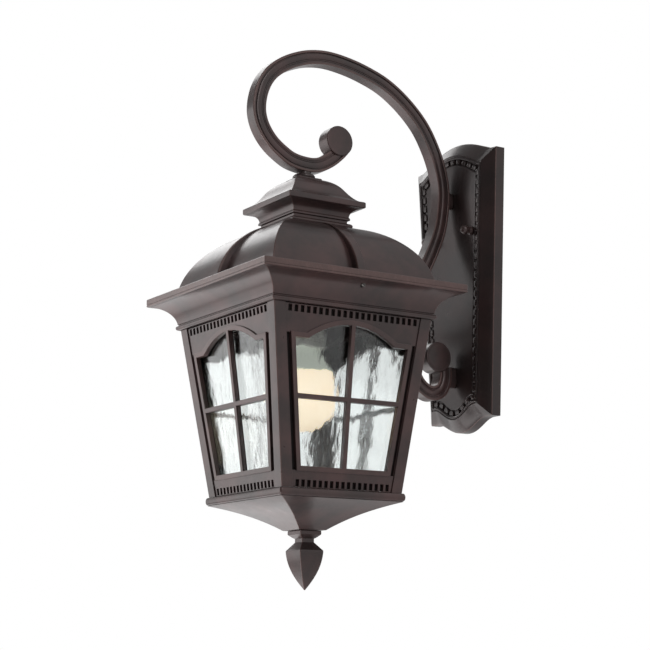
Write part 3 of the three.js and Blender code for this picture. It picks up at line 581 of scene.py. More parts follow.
def buildRoof():
    s = roofShape
    top, shoulder = roofHigh.z, roofHigh.z - s["shoulder"]
    half = s["topHalf"]
    bead = bend(
        (half, shoulder), (half + 1.9 * mm, shoulder + 1.0 * mm), (half + 1.9 * mm, top - 0.8 * mm),
        (half - 1.5 * mm, top), 10,
    )
    outside = [*reversed(roofCurve(0)), *bead[1:]]
    inside = [(s["bore"], top), (s["bore"], shoulder - s["wall"]), *roofCurve(s["wall"])]
    bm = bmesh.new()
    squareForm(bm, [*outside, *inside], s["corner"])
    addStraps(bm)
    finishPiece(bm, "roof_dome", "mount", [bronze, rubbedAndHighlit], ["roof"], crease=28)


corniceLow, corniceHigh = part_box("cornice")
corniceShape = {
    "half": corniceHigh.x,
    "neck": 93 * mm,
    "wall": 2.6 * mm,
    "foot": 6 * mm,
    # the edge's insets and depths under the top, in millimetres, with a fine groove
    "edge": [
        (1.4, 0), (0.5, 0.2), (0.1, 0.7), (0, 1.3), (0, 5.4), (0.15, 5.7), (0.4, 5.85),
        (0.4, 6.05), (0.15, 6.2), (0, 6.5), (0, 7.4), (0.2, 8.0), (0.8, 8.3), (1.9, 8.3),
    ],
    "edgeHeight": 8.3 * mm,
}


def buildCornice():
    s = corniceShape
    top, bottom, half, neck = corniceHigh.z, corniceLow.z, s["half"], s["neck"]
    under, foot = top - s["edgeHeight"], bottom + s["foot"]

    def cove(inset, steps):
        return bend(
            (half - 2.6 * mm, under + inset), (half - 14 * mm, under - 2 * mm + inset),
            (neck + 1 * mm - inset * 0.7, foot + 9 * mm), (neck - 0.2 * mm - inset, foot), steps,
        )

    edge = [(half - inset * mm, top - drop * mm) for inset, drop in s["edge"]]
    bead = [(neck - 0.9 * mm, foot - 0.5 * mm), (neck - 1.0 * mm, foot - 1.2 * mm)]
    bead += bend(
        (neck - 0.1 * mm, foot - 1.5 * mm), (neck + 1.8 * mm, foot - 1.8 * mm),
        (neck + 1.8 * mm, bottom + 0.4 * mm), (neck - 1 * mm, bottom), 12,
    )
    inner, roofSeat = neck - s["wall"], top - s["wall"]
    innerCove = list(reversed(cove(s["wall"], 10)))[2:8]
    inside = [
        (inner, bottom), (inner, foot + 2 * mm), *innerCove, (half - 10 * mm, roofSeat),
        (inner, roofSeat), (inner, top),
    ]
    bm = bmesh.new()
    squareForm(bm, [*edge, *cove(0, 22), *bead, *inside])
    cornice = finishPiece(
        bm, "cornice_moulding", "mount", [bronze, rubbedAndHighlit], ["cornice"], crease=28,
    )
    # The fascia's upright faces take the rubbed colour: partly real wear, partly a painted highlight where
    # the fascia catches the light.
    for polygon in cornice.data.polygons:
        if polygon.center.z > under and abs(polygon.normal.z) < 0.7:
            polygon.material_index = 1


buildCap()
buildRoof()
buildCornice()
print("cap, roof and cornice built")

cageShape = {
    "postWidth": 12.4 * mm,
    "postWall": 2.6 * mm,
    "postNose": 0.8 * mm,
    "postEdge": 0.35 * mm,
    "setback": 1.2 * mm,  # posts' outer faces to the panels
    "front": 3.2 * mm,
    "back": 0.9 * mm,
    "header": 31 * mm,
    "sill": 20 * mm,
    "archRise": 16.6 * mm,
    "archShoulder": 15 * mm,
    "crossDrop": 3 * mm,
    "groove": 4.8 * mm,
    "sash": 4.8 * mm,
    "sashProud": 1.4 * mm,
    "bar": 4.4 * mm,
    "headSlots": 22,
    "footSlots": 17,
    "slotHeight": 6.4 * mm,
    "slotShare": 0.29,  # half a slot's share of the pitch
    "slotEnd": 1.4 * mm,
    "gap": 0.3 * mm,
}
cageSides = ("front", "right", "back", "left")


# Angle posts that lean with the cage, with a rounded nose.
def buildPosts():
    s = cageShape
    width, wall, nose, soft = s["postWidth"], s["postWall"], s["postNose"], s["postEdge"]
    noseSteps = 5
    turns = [math.radians(90 * i / noseSteps) for i in range(noseSteps + 1)]
    section = [
        *[(-nose * (1 - math.cos(t)), -nose * (1 - math.sin(t))) for t in turns],
        (-width + soft, 0), (-width, -soft), (-width, -wall + soft), (-width + soft, -wall),
        (-wall - soft, -wall), (-wall, -wall - soft), (-wall, -width + soft), (-wall - soft, -width),
        (-soft, -width), (0, -width + soft),
    ]

    # The rounded nose takes the rubbed colour: partly real wear, partly a painted highlight on the edge.
    def onNose(ring, side):
        return 1 if side < noseSteps else 0

    for k in range(4):
        turn = Matrix.Translation(axis) @ Matrix.Rotation((k - 1) * math.pi / 2, 4, "Z")
        rings = []
        for height in (cageBottom, cageTop):
            half = halfAt(height)
            rings.append([turn @ Vector((half + x, half + y, height)) for x, y in section])
        bm = bmesh.new()
        stitch(bm, rings, capped=True, mark=onNose)
        name, node = "post_%d" % (k + 1), "corner_post_%d" % (k + 1)
        finishPiece(bm, name, "cage", [bronze, rubbedAndHighlit], [node], crease=50)


# Face space: across, height, and depth in front of the posts' faces; turned to each of the four sides.
def faceMatrix(side):
    lean = Matrix(((1, 0, 0, 0), (0, -taper, -1, -halfAt(0)), (0, 1, 0, 0), (0, 0, 0, 1)))
    return Matrix.Translation(axis) @ Matrix.Rotation(side * math.pi / 2, 4, "Z") @ lean


def flatShape(outlines, depthFront, depthBack, bevel, side, bm):
    mesh = filledShape(outlines, depthFront - depthBack, bevel)
    mesh.transform(faceMatrix(side) @ Matrix.Translation((0, 0, (depthFront + depthBack) / 2)))
    bm.from_mesh(mesh)


def mirrored(points):
    return [(-x, z) for x, z in reversed(points)]


def bothSides(points):
    return [points, mirrored(points)]


# The four lights of a window and the outer edge of its sash, with the sill's and the arch's heights.
def windowOutlines():
    s = cageShape
    archFoot = cageTop - s["header"]
    sillTop = cageBottom + s["sill"]
    crest = archFoot + s["archRise"]
    cross = (sillTop + crest) / 2 - s["crossDrop"]
    bar, wide = s["bar"] / 2, s["sash"]

    def edge(z, more=0):
        return halfAt(z) - (s["postWidth"] + s["groove"] + s["sash"]) + more

    archHalf = edge(archFoot) - s["archShoulder"]

    def arch(grow, fromX):
        points = bend(
            (archHalf + grow * 0.5, archFoot + grow),
            (archHalf * 0.76 + grow * 0.4, archFoot + 8.5 * mm + grow),
            (archHalf * 0.4, crest + grow),
            (0, crest + grow),
            26,
        )
        return [p for p in points if p[0] > fromX + 0.2 * mm]

    upper = [(bar, cross + bar), (edge(cross + bar), cross + bar), (edge(archFoot), archFoot)]
    upper += [*arch(0, bar), (bar, crest)]
    lower = [(bar, sillTop), (edge(sillTop), sillTop), (edge(cross - bar), cross - bar), (bar, cross - bar)]
    lights = bothSides(upper) + bothSides(lower)
    rim = [(edge(sillTop - wide, wide), sillTop - wide), (edge(archFoot + wide, wide), archFoot + wide)]
    rim += arch(wide, 0)
    sash = [*rim, (0, crest + wide), *mirrored(rim)]
    return lights, sash, sillTop, archFoot


def slotRow(bottom, reach, count):
    s = cageShape
    top = bottom + s["slotHeight"]
    pitch = 2 * reach / count
    half = pitch * s["slotShare"]
    row = []
    for i in range(count):
        x = -reach + (i + 0.5) * pitch
        row.append([(x - half, bottom), (x + half, bottom), (x + half, top), (x - half, top)])
    return row


# Each side is a pierced plate, a near-black sheet of painted shade that closes its slots and grooves, and a
# raised sash.
def buildPanels():
    s = cageShape
    lights, sash, sillTop, archFoot = windowOutlines()

    def edge(z):
        return halfAt(z) - s["postWidth"] - s["gap"]

    foot, head = cageBottom + s["gap"], cageTop - s["gap"]
    outline = [(-edge(foot), foot), (edge(foot), foot), (edge(head), head), (-edge(head), head)]
    low, high = sillTop - 4 * mm, archFoot + 4 * mm
    inner, outer = s["groove"], 0.4 * mm
    groove = [
        (edge(low) - inner, low), (edge(low) - outer, low),
        (edge(high) - outer, high), (edge(high) - inner, high),
    ]
    headReach, footReach = edge(cageTop - 8 * mm) - s["slotEnd"], edge(cageBottom) - s["slotEnd"]
    slots = slotRow(head - s["slotHeight"] - 0.9 * mm, headReach, s["headSlots"])
    slots += slotRow(foot + 0.8 * mm, footReach, s["footSlots"])
    face = -s["setback"]
    rear = face - s["front"]
    for k, side in enumerate(cageSides):
        layers = [
            ("plate", [outline, *lights, *bothSides(groove), *slots], face, rear, 0.18 * mm, bronze),
            # the backing is a near-black sheet of painted shade behind the slots and grooves
            ("shade_backing", [outline, *lights], rear, rear - s["back"], 0.1 * mm, recessShade),
            ("sash", [sash, *lights], face + s["sashProud"], face, 0.45 * mm, sashBronze),
        ]
        for layer, outlines, front, back, bevel, finish in layers:
            bm = bmesh.new()
            flatShape(outlines, front, back, bevel, k, bm)
            nodes = ["window_panel_" + side] if layer == "plate" else []
            name = "window_%s_%s" % (layer, side)
            finishPiece(bm, name, "cage", [finish], nodes, crease=40)


# The outer vertices of a grid, in order.
def gridRim(grid):
    return [*grid[0], *[row[-1] for row in grid[1:]], *grid[-1][-2::-1], *[row[0] for row in grid[-2:0:-1]]]


glassShape = {
    "thickness": 3 * mm,
    "margin": 5 * mm,
    "columns": 70,
    "rows": 64,
    "across": 78,  # the ripple's scales, per metre
    "along": 38,
    "fine": 2.7,
    "ripple": 0.36 * mm,
    "rim": 4,  # cells over which the ripple dies out
}


# One rippled face of a pane, as rows of vertices.
def rippledGrid(bm, k, depth, outward):
    s = glassShape
    columns, rows = s["columns"], s["rows"]
    bottom, top = cageBottom + s["margin"], cageTop - s["margin"]
    toFace = faceMatrix(k)
    grid = []
    for j in range(rows + 1):
        z = bottom + (top - bottom) * j / rows
        half = halfAt(z) - cageShape["postWidth"]
        line = []
        for i in range(columns + 1):
            x = half * (2 * i / columns - 1)
            seed = Vector((x * s["across"] + 7 * k, z * s["along"], 3.7 * k + (0 if outward > 0 else 9)))
            wave = noise.noise(seed) + 0.5 * noise.noise(seed * s["fine"])
            rim = min(i, columns - i, j, rows - j) / s["rim"]
            wave = min(max(wave, -1), 1) * min(rim, 1)
            line.append(bm.verts.new(toFace @ Vector((x, z, depth + outward * (wave - 1) * s["ripple"]))))
        grid.append(line)
    return grid


def buildGlass():
    s = cageShape
    front = -(s["setback"] + s["front"] + s["back"] + s["gap"])
    for k, side in enumerate(cageSides):
        bm = bmesh.new()
        faces = [rippledGrid(bm, k, front, 1), rippledGrid(bm, k, front - glassShape["thickness"], -1)]
        for grid, flip in zip(faces, (False, True)):
            for lower, upper in zip(grid, grid[1:]):
                for i in range(len(lower) - 1):
                    quad = [lower[i], lower[i + 1], upper[i + 1], upper[i]]
                    bm.faces.new(reversed(quad) if flip else quad)
        outer, inner = (gridRim(grid) for grid in faces)
        for i in range(len(outer)):
            j = (i + 1) % len(outer)
            bm.faces.new((outer[i], inner[i], inner[j], outer[j]))
        finishPiece(
            bm, "water_glass_" + side, "cage", [waterGlass], ["glass_" + side],
            crease=60, weighted=False,
        )


baseLow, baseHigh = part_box("base_frame")
panLow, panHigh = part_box("pan")
baseShape = {
    "half": baseHigh.x,
    "ledge": 9 * mm,  # from the cage's foot in to the opening
    "corner": 2.2 * mm,
    "panHalf": baseHigh.x - 2 * mm,
    "panFoot": 15.5 * mm,
    "panWall": 2.2 * mm,
    "panBore": 3 * mm,
    "panCorner": 0.9 * mm,
    "panSweep": [(50, 6), (33, 13)],  # half widths and depths, in millimetres
}


def buildBase():
    s = baseShape
    half, opening = s["half"], cageBottomHalf - s["ledge"]
    rim = bend(
        (half - 1.8 * mm, baseLow.z), (half + 0.5 * mm, baseLow.z), (half + 0.5 * mm, baseHigh.z),
        (half - 1.8 * mm, baseHigh.z), 14,
    )
    bm = bmesh.new()
    squareForm(bm, [(opening, baseLow.z), *rim, (opening, baseHigh.z)], s["corner"], 6)
    finishPiece(bm, "base_rim", "cage", [bronze, bronze], ["base_frame"])


def buildPan():
    s = baseShape
    half, wall, bore = s["panHalf"], s["panWall"], s["panBore"]
    top, bottom = panHigh.z, panLow.z

    def ogee(lift):
        pulls = [(x * mm - lift * 0.4, top - drop * mm + lift) for x, drop in s["panSweep"]]
        foot = (s["panFoot"] - lift * 0.2, bottom + lift)
        return bend((half - lift, top - 0.4 * mm + lift), *pulls, foot, 36)

    outside = [(bore, bottom), *reversed(ogee(0)), (half, top)]
    inside = [p for p in ogee(wall) if p[1] < top - 0.2 * mm]
    bm = bmesh.new()
    profile = [*outside, (half - wall * 1.4, top), *inside, (bore, bottom + wall)]
    squareForm(bm, profile, s["panCorner"])
    finishPiece(bm, "pan_ogee", "cage", [bronze, rubbedAndHighlit], ["pan"], crease=28)


finialShape = {
    "half": finialHigh.x,
    "bore": 2.9 * mm,
    "boreDepth": 14.3 * mm,
}


def buildFinial():
    s = finialShape
    tip, top = finialLow.z, finialHigh.z

    def at(share, rise):
        return (share * s["half"], tip + rise * (top - tip))

    drop = bend(at(0.04, 0), at(0.43, 0.15), at(0.91, 0.35), at(1, 0.63), 26)
    neck = [
        at(1, 0.64), at(1, 0.655), at(0.985, 0.668), at(0.95, 0.676),
        *bend(at(0.9, 0.69), at(0.75, 0.735), at(0.64, 0.765), at(0.53, 0.798), 8),
        at(0.515, 0.806), at(0.515, 0.858), at(0.53, 0.866),
        *bend(at(0.56, 0.87), at(0.64, 0.88), at(0.74, 0.902), at(0.85, 0.925), 6),
        at(0.885, 0.932), at(0.9, 0.942), at(0.9, 0.985), at(0.885, 0.997), at(0.85, 1),
    ]
    boreEnd = top - s["boreDepth"]
    profile = [(0, tip), *drop, *neck, (s["bore"], top), (s["bore"], boreEnd), (0, boreEnd)]
    bm = bmesh.new()
    squareForm(bm, profile)
    finishPiece(bm, "drop_finial", "finial", [bronze, rubbedAndHighlit], ["finial"], crease=30)


buildPosts()
buildPanels()
buildGlass()
buildBase()
buildPan()
buildFinial()
print("cage, glass, base, pan and finial built")

stemShape = {
    "bore": 5.3 * mm,
    "beadFlat": 2.4 * mm,
    "beadBulge": 0.6 * mm,
}


def buildStem():
    bore = stemShape["bore"]
    low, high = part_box("stem")
    bm = bmesh.new()
    roundForm(bm, [(bore, low.z), (high.x, low.z), (high.x, high.z), (bore, high.z)])
    finishPiece(bm, "stem_neck", "mount", [bronze], ["stem"])
    low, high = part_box("stem_collar")
    flat, bulge = high.x - stemShape["beadFlat"], high.x + stemShape["beadBulge"]
    side = bend((flat, low.z), (bulge, low.z), (bulge, high.z), (flat, high.z), 16)
    bm = bmesh.new()
    roundForm(bm, [(bore, low.z), *side, (bore, high.z)])
    finishPiece(bm, "stem_bead", "mount", [bronze], ["stem_collar"])


armShape = {
    "half": 7 * mm,
    "perSpan": 9,
    "ridges": (0, 1, 2, 23, 24, 25, 26, 27),  # the face's strips that take the rubbed colour: partly real wear, partly a painted highlight
    "discRadius": 15.8 * mm,
    "discLength": 17 * mm,
    "discEdge": 1.1 * mm,
    "discDish": 0.25 * mm,
}
# distances from the lantern's axis and heights, in millimetres
armRoute = [
    (45, 73.5), (39.2, 67.2), (27.5, 57.6), (13, 50.4), (-1, 49.3), (-17.5, 52), (-29, 57.8), (-40, 65.7),
    (-48.5, 75.4), (-54.5, 87), (-56.8, 100.7), (-53.2, 120.8), (-43.9, 137.6), (-27.5, 151.4), (-6.2, 161.8),
    (11, 166.4), (28, 168), (51.9, 166), (76.3, 160.8), (100.7, 152.2), (125.3, 136.7), (147.5, 115.2),
    (162.3, 90.1), (169.8, 70), (173.2, 54), (173.6, 38.7), (168, 4.8), (156.9, -22), (147.5, -40.1),
    (137, -63), (129, -87.5), (125.3, -112), (126.8, -136), (132, -153), (141, -165.5), (154, -171.2),
    (165, -167.2), (170.4, -156), (170.8, -143),
]
# one broad face of the bar, from its inner edge to its outer edge, in half widths
armFace = [
    (0.91, -1.15), (0.955, -1.13), (0.975, -1.06), (0.98, -0.93), (0.98, -0.76), (0.95, -0.71), (0.86, -0.68),
    (0.86, -0.62), (0.93, -0.59), (0.94, -0.54), (0.93, -0.5), (0.85, -0.47), (0.85, -0.41), (0.93, -0.37),
    (0.975, -0.24), (0.998, -0.08), (1, 0.06), (0.985, 0.22), (0.95, 0.35), (0.9, 0.42), (0.78, 0.45),
    (0.78, 0.55), (0.95, 0.61), (0.985, 0.65), (1, 0.7), (1, 0.86), (0.985, 0.94), (0.94, 0.985), (0.84, 1),
]


def inArmPlane(point):
    return Vector((0, axisY + point[0] * mm, point[1] * mm))


# Carries a section of (across, outward) along a path in the arm's plane.
def sweep(bm, path, section, mark):
    rings = []
    for i, point in enumerate(path):
        ahead = path[min(i + 1, len(path) - 1)] - path[max(i - 1, 0)]
        ahead.normalize()
        outward = Vector((0, -ahead.z, ahead.y))
        rings.append([point + Vector((u, 0, 0)) + outward * v for u, v in section])
    stitch(bm, rings, capped=True, mark=mark)


def buildArm():
    s = armShape
    half, ridges, last = s["half"], s["ridges"], 2 * len(armFace) - 2

    def onRidge(ring, side):
        return 1 if side in ridges or last - side in ridges else 0

    path = smoothPath([inArmPlane(p) for p in armRoute], s["perSpan"])
    section = [(u * half, v * half) for u, v in armFace]
    section += [(-u * half, v * half) for u, v in reversed(armFace)]
    bm = bmesh.new()
    sweep(bm, path, section, onRidge)
    finishPiece(bm, "scroll_bar", "mount", [bronze, rubbedAndHighlit], ["scroll_arm"], crease=38)


# The drums that the scroll's two ends run into, slightly dished.
def buildDrums():
    s = armShape
    r, h, soft, dish = s["discRadius"], s["discLength"] / 2, s["discEdge"], s["discDish"]
    turns = [math.radians(15 * i) for i in range(7)]
    upper = [(0, h - dish), (r * 0.8, h - dish), (r - 1.9 * mm, h - 0.05 * mm), (r - 1.5 * mm, h)]
    upper += [(r - soft + soft * math.sin(t), h - soft + soft * math.cos(t)) for t in turns]
    profile = [*upper, *[(x, -z) for x, z in reversed(upper)]]
    for place in ("upper", "lower"):
        node = place + "_scroll_disc"
        low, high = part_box(node)
        turn = Matrix.Translation((low + high) / 2) @ Matrix.Rotation(math.pi / 2, 4, "Y")
        bm = bmesh.new()
        roundForm(bm, profile, 72, turn, around=False)
        finishPiece(bm, place + "_scroll_drum", "mount", [bronze], [node], crease=40)


padShape = {
    "bevel": 0.8 * mm,
    # the holes' heights and radii
    "upper_arm": [(34 * mm, 2.5 * mm), (44 * mm, 2.3 * mm)],
    "lower_arm": [(-152.5 * mm, 2.5 * mm)],
}


# Oblong bosses between the arm and the plate, drilled for the screw and, above, for the lead.
def buildPads():
    s = padShape
    turns = [math.pi * i / 12 for i in range(13)]
    for place in ("upper_arm", "lower_arm"):
        low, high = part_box(place + "_pad")
        half, middle = high.x, (low.z + high.z) / 2
        straight = (high.z - low.z) / 2 - half
        over = [(half * math.cos(t), middle + straight + half * math.sin(t)) for t in turns]
        under = [(-half * math.cos(t), middle - straight - half * math.sin(t)) for t in turns]
        holes = [[(r * math.cos(2 * t), z + r * math.sin(2 * t)) for t in turns[:-1]] for z, r in s[place]]
        mesh = filledShape([over + under, *holes], high.y - low.y, s["bevel"])
        toWall = Matrix.Translation((0, (low.y + high.y) / 2, 0)) @ Matrix.Rotation(math.pi / 2, 4, "X")
        mesh.transform(toWall)
        bm = bmesh.new()
        bm.from_mesh(mesh)
        finishPiece(bm, place + "_boss", "mount", [bronze], [place + "_pad"], crease=40)


buildStem()
buildArm()
buildDrums()
buildPads()
print("stem and scroll arm built")

plateShape = {
    "topHalf": 68.6 * mm,
    "footHalf": 51.4 * mm,
    "shoulder": 85 * mm,
    "foot": -197 * mm,
    "arch": 17 * mm,
    "drop": 13 * mm,
    "edge": 11.9 * mm,
    "depth": 19.7 * mm,
    "cove": 12.5 * mm,
    "rim": 4.5 * mm,
    "wall": 3 * mm,
    "corner": 9.7 * mm,
    "coveSteps": 16,
    # bends of the beaded border: steps in from its edge and depths, in millimetres, and their counts
    "border": [
        ([(7.0, 0), (6.4, 0), (6.0, 1.2), (5.6, 1.2)], 4),
        ([(1.2, 1.2), (0.8, 1.2), (0.7, -0.8), (-0.1, -1.2)], 6),
        ([(-1.0, -1.7), (-1.7, -1.8), (-2.2, -1.2), (-2.4, -0.6)], 4),
    ],
    "channel": 1.0 * mm,
    "beadInset": 3.1 * mm,
    "beadPitch": 10 * mm,
    "beadLong": 3.6 * mm,
    "beadHigh": 2.0 * mm,
    "beadWide": 2.5 * mm,
    "beadSquareness": 0.4,
}


# The plate's outline, drawn in by inset at a distance y from the wall.
def plateOutline(inset, y, steps=26):
    s = plateShape
    lean = (s["topHalf"] - s["footHalf"]) / (s["shoulder"] - s["foot"])
    head, foot = s["shoulder"] - inset, s["foot"] + inset

    def half(z):
        return s["footHalf"] + lean * (z - s["foot"]) - inset

    headSpan = half(head) - s["corner"] + inset * 0.35
    footSpan = half(foot) - s["corner"] + inset * 0.35
    tip, crest = foot - s["drop"], head + s["arch"]
    drop = bend((0, tip), (footSpan * 0.45, tip), (footSpan * 0.67, foot), (footSpan, foot), steps)
    rise = bend(
        (headSpan, head + 0.8 * mm), (headSpan * 0.79, head + 5 * mm), (headSpan * 0.45, crest),
        (0, crest), steps,
    )
    right = [*drop, (half(foot), foot), (half(head), head), *rise]
    left = [(-x, z) for x, z in reversed(right[1:-1])]
    return [Vector((x, y, z)) for x, z in (*right, *left)]


def buildPlate():
    s = plateShape
    edge, depth, cove, wall = s["edge"], s["depth"], s["cove"], s["wall"]
    border = cove + s["rim"]
    channel = depth - s["channel"]
    profile = [(border + 8 * mm, -depth)]
    for points, steps in s["border"]:
        profile += bend(*[(border + x * mm, -depth + sunk * mm) for x, sunk in points], steps)
    for i in range(s["coveSteps"], -1, -1):
        share = i / s["coveSteps"]
        inset = 0.6 * mm + cove * (1 - math.cos(share * math.pi / 2))
        profile.append((inset, -edge - (depth + 1.2 * mm - edge) * share ** 1.6))
    # The rings at the plate's outer edge take the rubbed colour: partly real wear, partly a painted
    # highlight.
    rubbedHighlitRings = (len(profile) - 1, len(profile))
    profile += [
        (0.2 * mm, -edge + 0.3 * mm), (0, -edge + 0.9 * mm), (0, -0.5 * mm), (0.5 * mm, 0), (wall, 0),
        (wall, -edge + wall), (cove + wall, -depth + wall),
    ]

    def onEdge(ring, side):
        return 1 if ring in rubbedHighlitRings else 0

    bm = bmesh.new()
    made = stitch(bm, [plateOutline(inset, y) for inset, y in profile], mark=onEdge)
    for ring in (made[0], made[-1]):
        closeAcross(bm, ring)
    beads(bm, border + s["beadInset"], -channel)
    finishPiece(bm, "plate_casting", "mount", [plateShadedBronze, rubbedAndHighlit], ["wall_plate"], crease=30)


# Closes a ring that is alike on the left and the right with strips straight across.
def closeAcross(bm, ring):
    for i in range(len(ring) // 2):
        corners = list(dict.fromkeys((ring[i], ring[i + 1], ring[-i - 1], ring[-i] if i else ring[0])))
        if len(corners) > 2:
            bm.faces.new(corners)


# Oblong beads laid along the channel, a pitch apart.
def beads(bm, inset, floorY):
    s = plateShape
    line = plateOutline(inset, floorY, 60)
    lengths = [0]
    for a, b in zip(line, [*line[1:], line[0]]):
        lengths.append(lengths[-1] + (b - a).length)
    count = round(lengths[-1] / s["beadPitch"])
    along = 0
    for i in range(count):
        want = (i + 0.5) * lengths[-1] / count
        while lengths[along + 1] < want:
            along += 1
        a, b = line[along], line[(along + 1) % len(line)]
        share = (want - lengths[along]) / max(lengths[along + 1] - lengths[along], 1e-9)
        ahead = (b - a).normalized()
        side = Vector((ahead.z, 0, -ahead.x))
        turn = Matrix((ahead, Vector((0, 1, 0)), side)).transposed().to_4x4()
        made = bmesh.ops.create_icosphere(bm, subdivisions=2, radius=1)["verts"]
        place = Matrix.Translation(a.lerp(b, share)) @ turn
        for v in made:
            x, y, z = (math.copysign(abs(c) ** s["beadSquareness"], c) for c in v.co)
            v.co = place @ Vector((x * s["beadLong"], y * s["beadHigh"], z * s["beadWide"]))


nutShape = {
    "ball": 4.6 * mm,
    "neck": 3.3 * mm,
    "bore": 2.7 * mm,
    "boreStop": 5.6 * mm,
    "steps": 18,
    # radii and heights of the seat, in millimetres
    "seat": [(2.7, 0), (4.3, 0), (4.6, 0.3), (4.6, 1.7), (4.3, 2.1), (3.6, 2.5), (3.3, 3.1)],
}


def buildBallNuts():
    s = nutShape
    ball, start = s["ball"], math.asin(s["neck"] / s["ball"])
    turns = [start + (math.pi - start) * i / s["steps"] for i in range(s["steps"] + 1)]
    seat = [(r * mm, z * mm) for r, z in s["seat"]]
    for side in ("left", "right"):
        low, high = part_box("ball_nut_" + side)
        centre = Vector(((low.x + high.x) / 2, high.y, (low.z + high.z) / 2))
        long = high.y - low.y
        dome = [(ball * math.sin(t), long - ball - ball * math.cos(t)) for t in turns]
        boreEnd = long - s["boreStop"]
        profile = [*seat, *dome, (0, long), (0, boreEnd), (s["bore"], boreEnd)]
        turn = Matrix.Translation(centre) @ Matrix.Rotation(math.pi / 2, 4, "X")
        bm = bmesh.new()
        roundForm(bm, profile, 40, turn)
        name, node = "ball_knob_" + side, "ball_nut_" + side
        finishPiece(bm, name, side + "_ball_nut", [bronze], [node])


buildPlate()
buildBallNuts()
print("wall plate and ball nuts built")


# Ridges of a thread as a profile of (radius, place along it).
def threadProfile(radius, start, end, pitch):
    count = max(2, round((end - start) / pitch))
    step = (end - start) / count
    points = []
    for i in range(count):
        base = start + i * step
        valley, ridge = radius * 0.88, (base + step * 0.45, base + step * 0.65)
        points += [(valley, base + step * 0.1), *[(radius, z) for z in ridge]]
    return [(radius * 0.8, start), *points, (radius * 0.8, end)]


roofScrewShape = {
    "thread": 1.8 * mm,
    "shank": 1.6 * mm,
    "pitch": 0.8 * mm,
    "headLong": 6 * mm,
    "slotHalf": 0.55 * mm,
    "slotDepth": 0.9 * mm,
    "slotReach": 0.8 * mm,
}


def buildRoofScrews():
    s = roofScrewShape
    for side, sign in (("left", -1), ("right", 1)):
        low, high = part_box("roof_screw_" + side)
        outer = high.x if sign > 0 else -low.x
        inner = low.x if sign > 0 else -high.x
        centre = Vector((0, (low.y + high.y) / 2, (low.z + high.z) / 2))
        head = high.y - centre.y
        seat = outer - s["headLong"]
        profile = [
            (0, inner), *threadProfile(s["thread"], inner, seat - 1 * mm, s["pitch"]), (s["shank"], seat),
            (head - 0.3 * mm, seat), (head, seat + 0.3 * mm), (head, outer - 1.2 * mm),
            (head * 0.86, outer - 0.5 * mm), (head * 0.6, outer - 0.1 * mm), (0, outer),
        ]
        turn = Matrix.Translation(centre) @ Matrix.Rotation(sign * math.pi / 2, 4, "Y")
        bm = bmesh.new()
        roundForm(bm, profile, 32, turn, around=False)
        # a driver slot, pressed into the head's outer rings
        for v in bm.verts:
            if abs(v.co.x) > outer - s["slotReach"] and abs(v.co.z - centre.z) < s["slotHalf"]:
                v.co.x -= sign * s["slotDepth"]
        name, node = "roof_screw_head_" + side, "roof_screw_" + side
        finishPiece(bm, name, side + "_roof_screw", [darkSteel], [node])


studShape = {  # radii and pitches
    "mounting": (2.4 * mm, 0.8 * mm),
    "finial": (2.6 * mm, 1 * mm),
    "nipple": (5 * mm, 1 * mm),
    "nippleBore": 3 * mm,
}


def buildStuds():
    s = studShape
    radius, pitch = s["mounting"]
    for side in ("left", "right"):
        low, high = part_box("mounting_stud_" + side)
        centre = Vector(((low.x + high.x) / 2, 0, (low.z + high.z) / 2))
        turn = Matrix.Translation(centre) @ Matrix.Rotation(-math.pi / 2, 4, "X")
        profile = [(0, low.y), *threadProfile(radius, low.y, high.y, pitch), (0, high.y)]
        bm = bmesh.new()
        roundForm(bm, profile, 24, turn, around=False)
        finishPiece(bm, "stud_thread_" + side, "mount", [steel], ["mounting_stud_" + side])
    low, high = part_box("finial_stud")
    radius, pitch = s["finial"]
    bm = bmesh.new()
    profile = [(0, low.z), *threadProfile(radius, low.z, high.z, pitch), (0, high.z)]
    roundForm(bm, profile, 24, around=False)
    finishPiece(bm, "finial_stud_thread", "finial", [steel], ["finial_stud"])
    low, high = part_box("hanger_nipple")
    radius, pitch = s["nipple"]
    bore = s["nippleBore"]
    bm = bmesh.new()
    roundForm(bm, [(bore, low.z), *threadProfile(radius, low.z, high.z, pitch), (bore, high.z)], 32)
    finishPiece(bm, "nipple_thread", "mount", [steel], ["hanger_nipple"])


buildRoofScrews()
buildStuds()
print("screws and studs built")

holderShape = {
    "capWall": 1.2 * mm,
    "capBore": 5.3 * mm,
    "bodyWall": 3 * mm,
    "bodyWay": 3 * mm,
    "webDepth": 9 * mm,
    "webThick": 4 * mm,
    "footRound": 1.2 * mm,
    "ribs": 5,
    "ribStart": 6,  # in millimetres, like the pitch
    "ribPitch": 3.2,
    "threadWall": 0.8 * mm,
    "threadDepth": 0.35 * mm,
    "threadTurns": 6,
    "threadBore": 5 * mm,
}


def buildHolderCap():
    s = holderShape
    low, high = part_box("socket_cap")
    top, bottom, radius = high.z, low.z, high.x
    inner, bore = radius - s["capWall"], s["capBore"]
    shoulder = bend(
        (radius - 7 * mm, top), (radius - 3 * mm, top), (radius, top - 1 * mm), (radius, top - 5 * mm), 10,
    )
    lip = [
        (radius, bottom + 2.6 * mm), (radius, bottom + 2.2 * mm), (radius - 0.5 * mm, bottom + 1.8 * mm),
        (radius - 0.5 * mm, bottom + 1.2 * mm), (radius, bottom + 0.8 * mm), (radius, bottom + 0.2 * mm),
        (radius - 0.4 * mm, bottom), (inner, bottom), (inner, top - 5 * mm),
    ]
    bm = bmesh.new()
    roundForm(bm, [(bore, top), *shoulder, *lip, (bore, top - 5 * mm)], 64)
    finishPiece(bm, "holder_cap", "mount", [brass], ["socket_cap"])


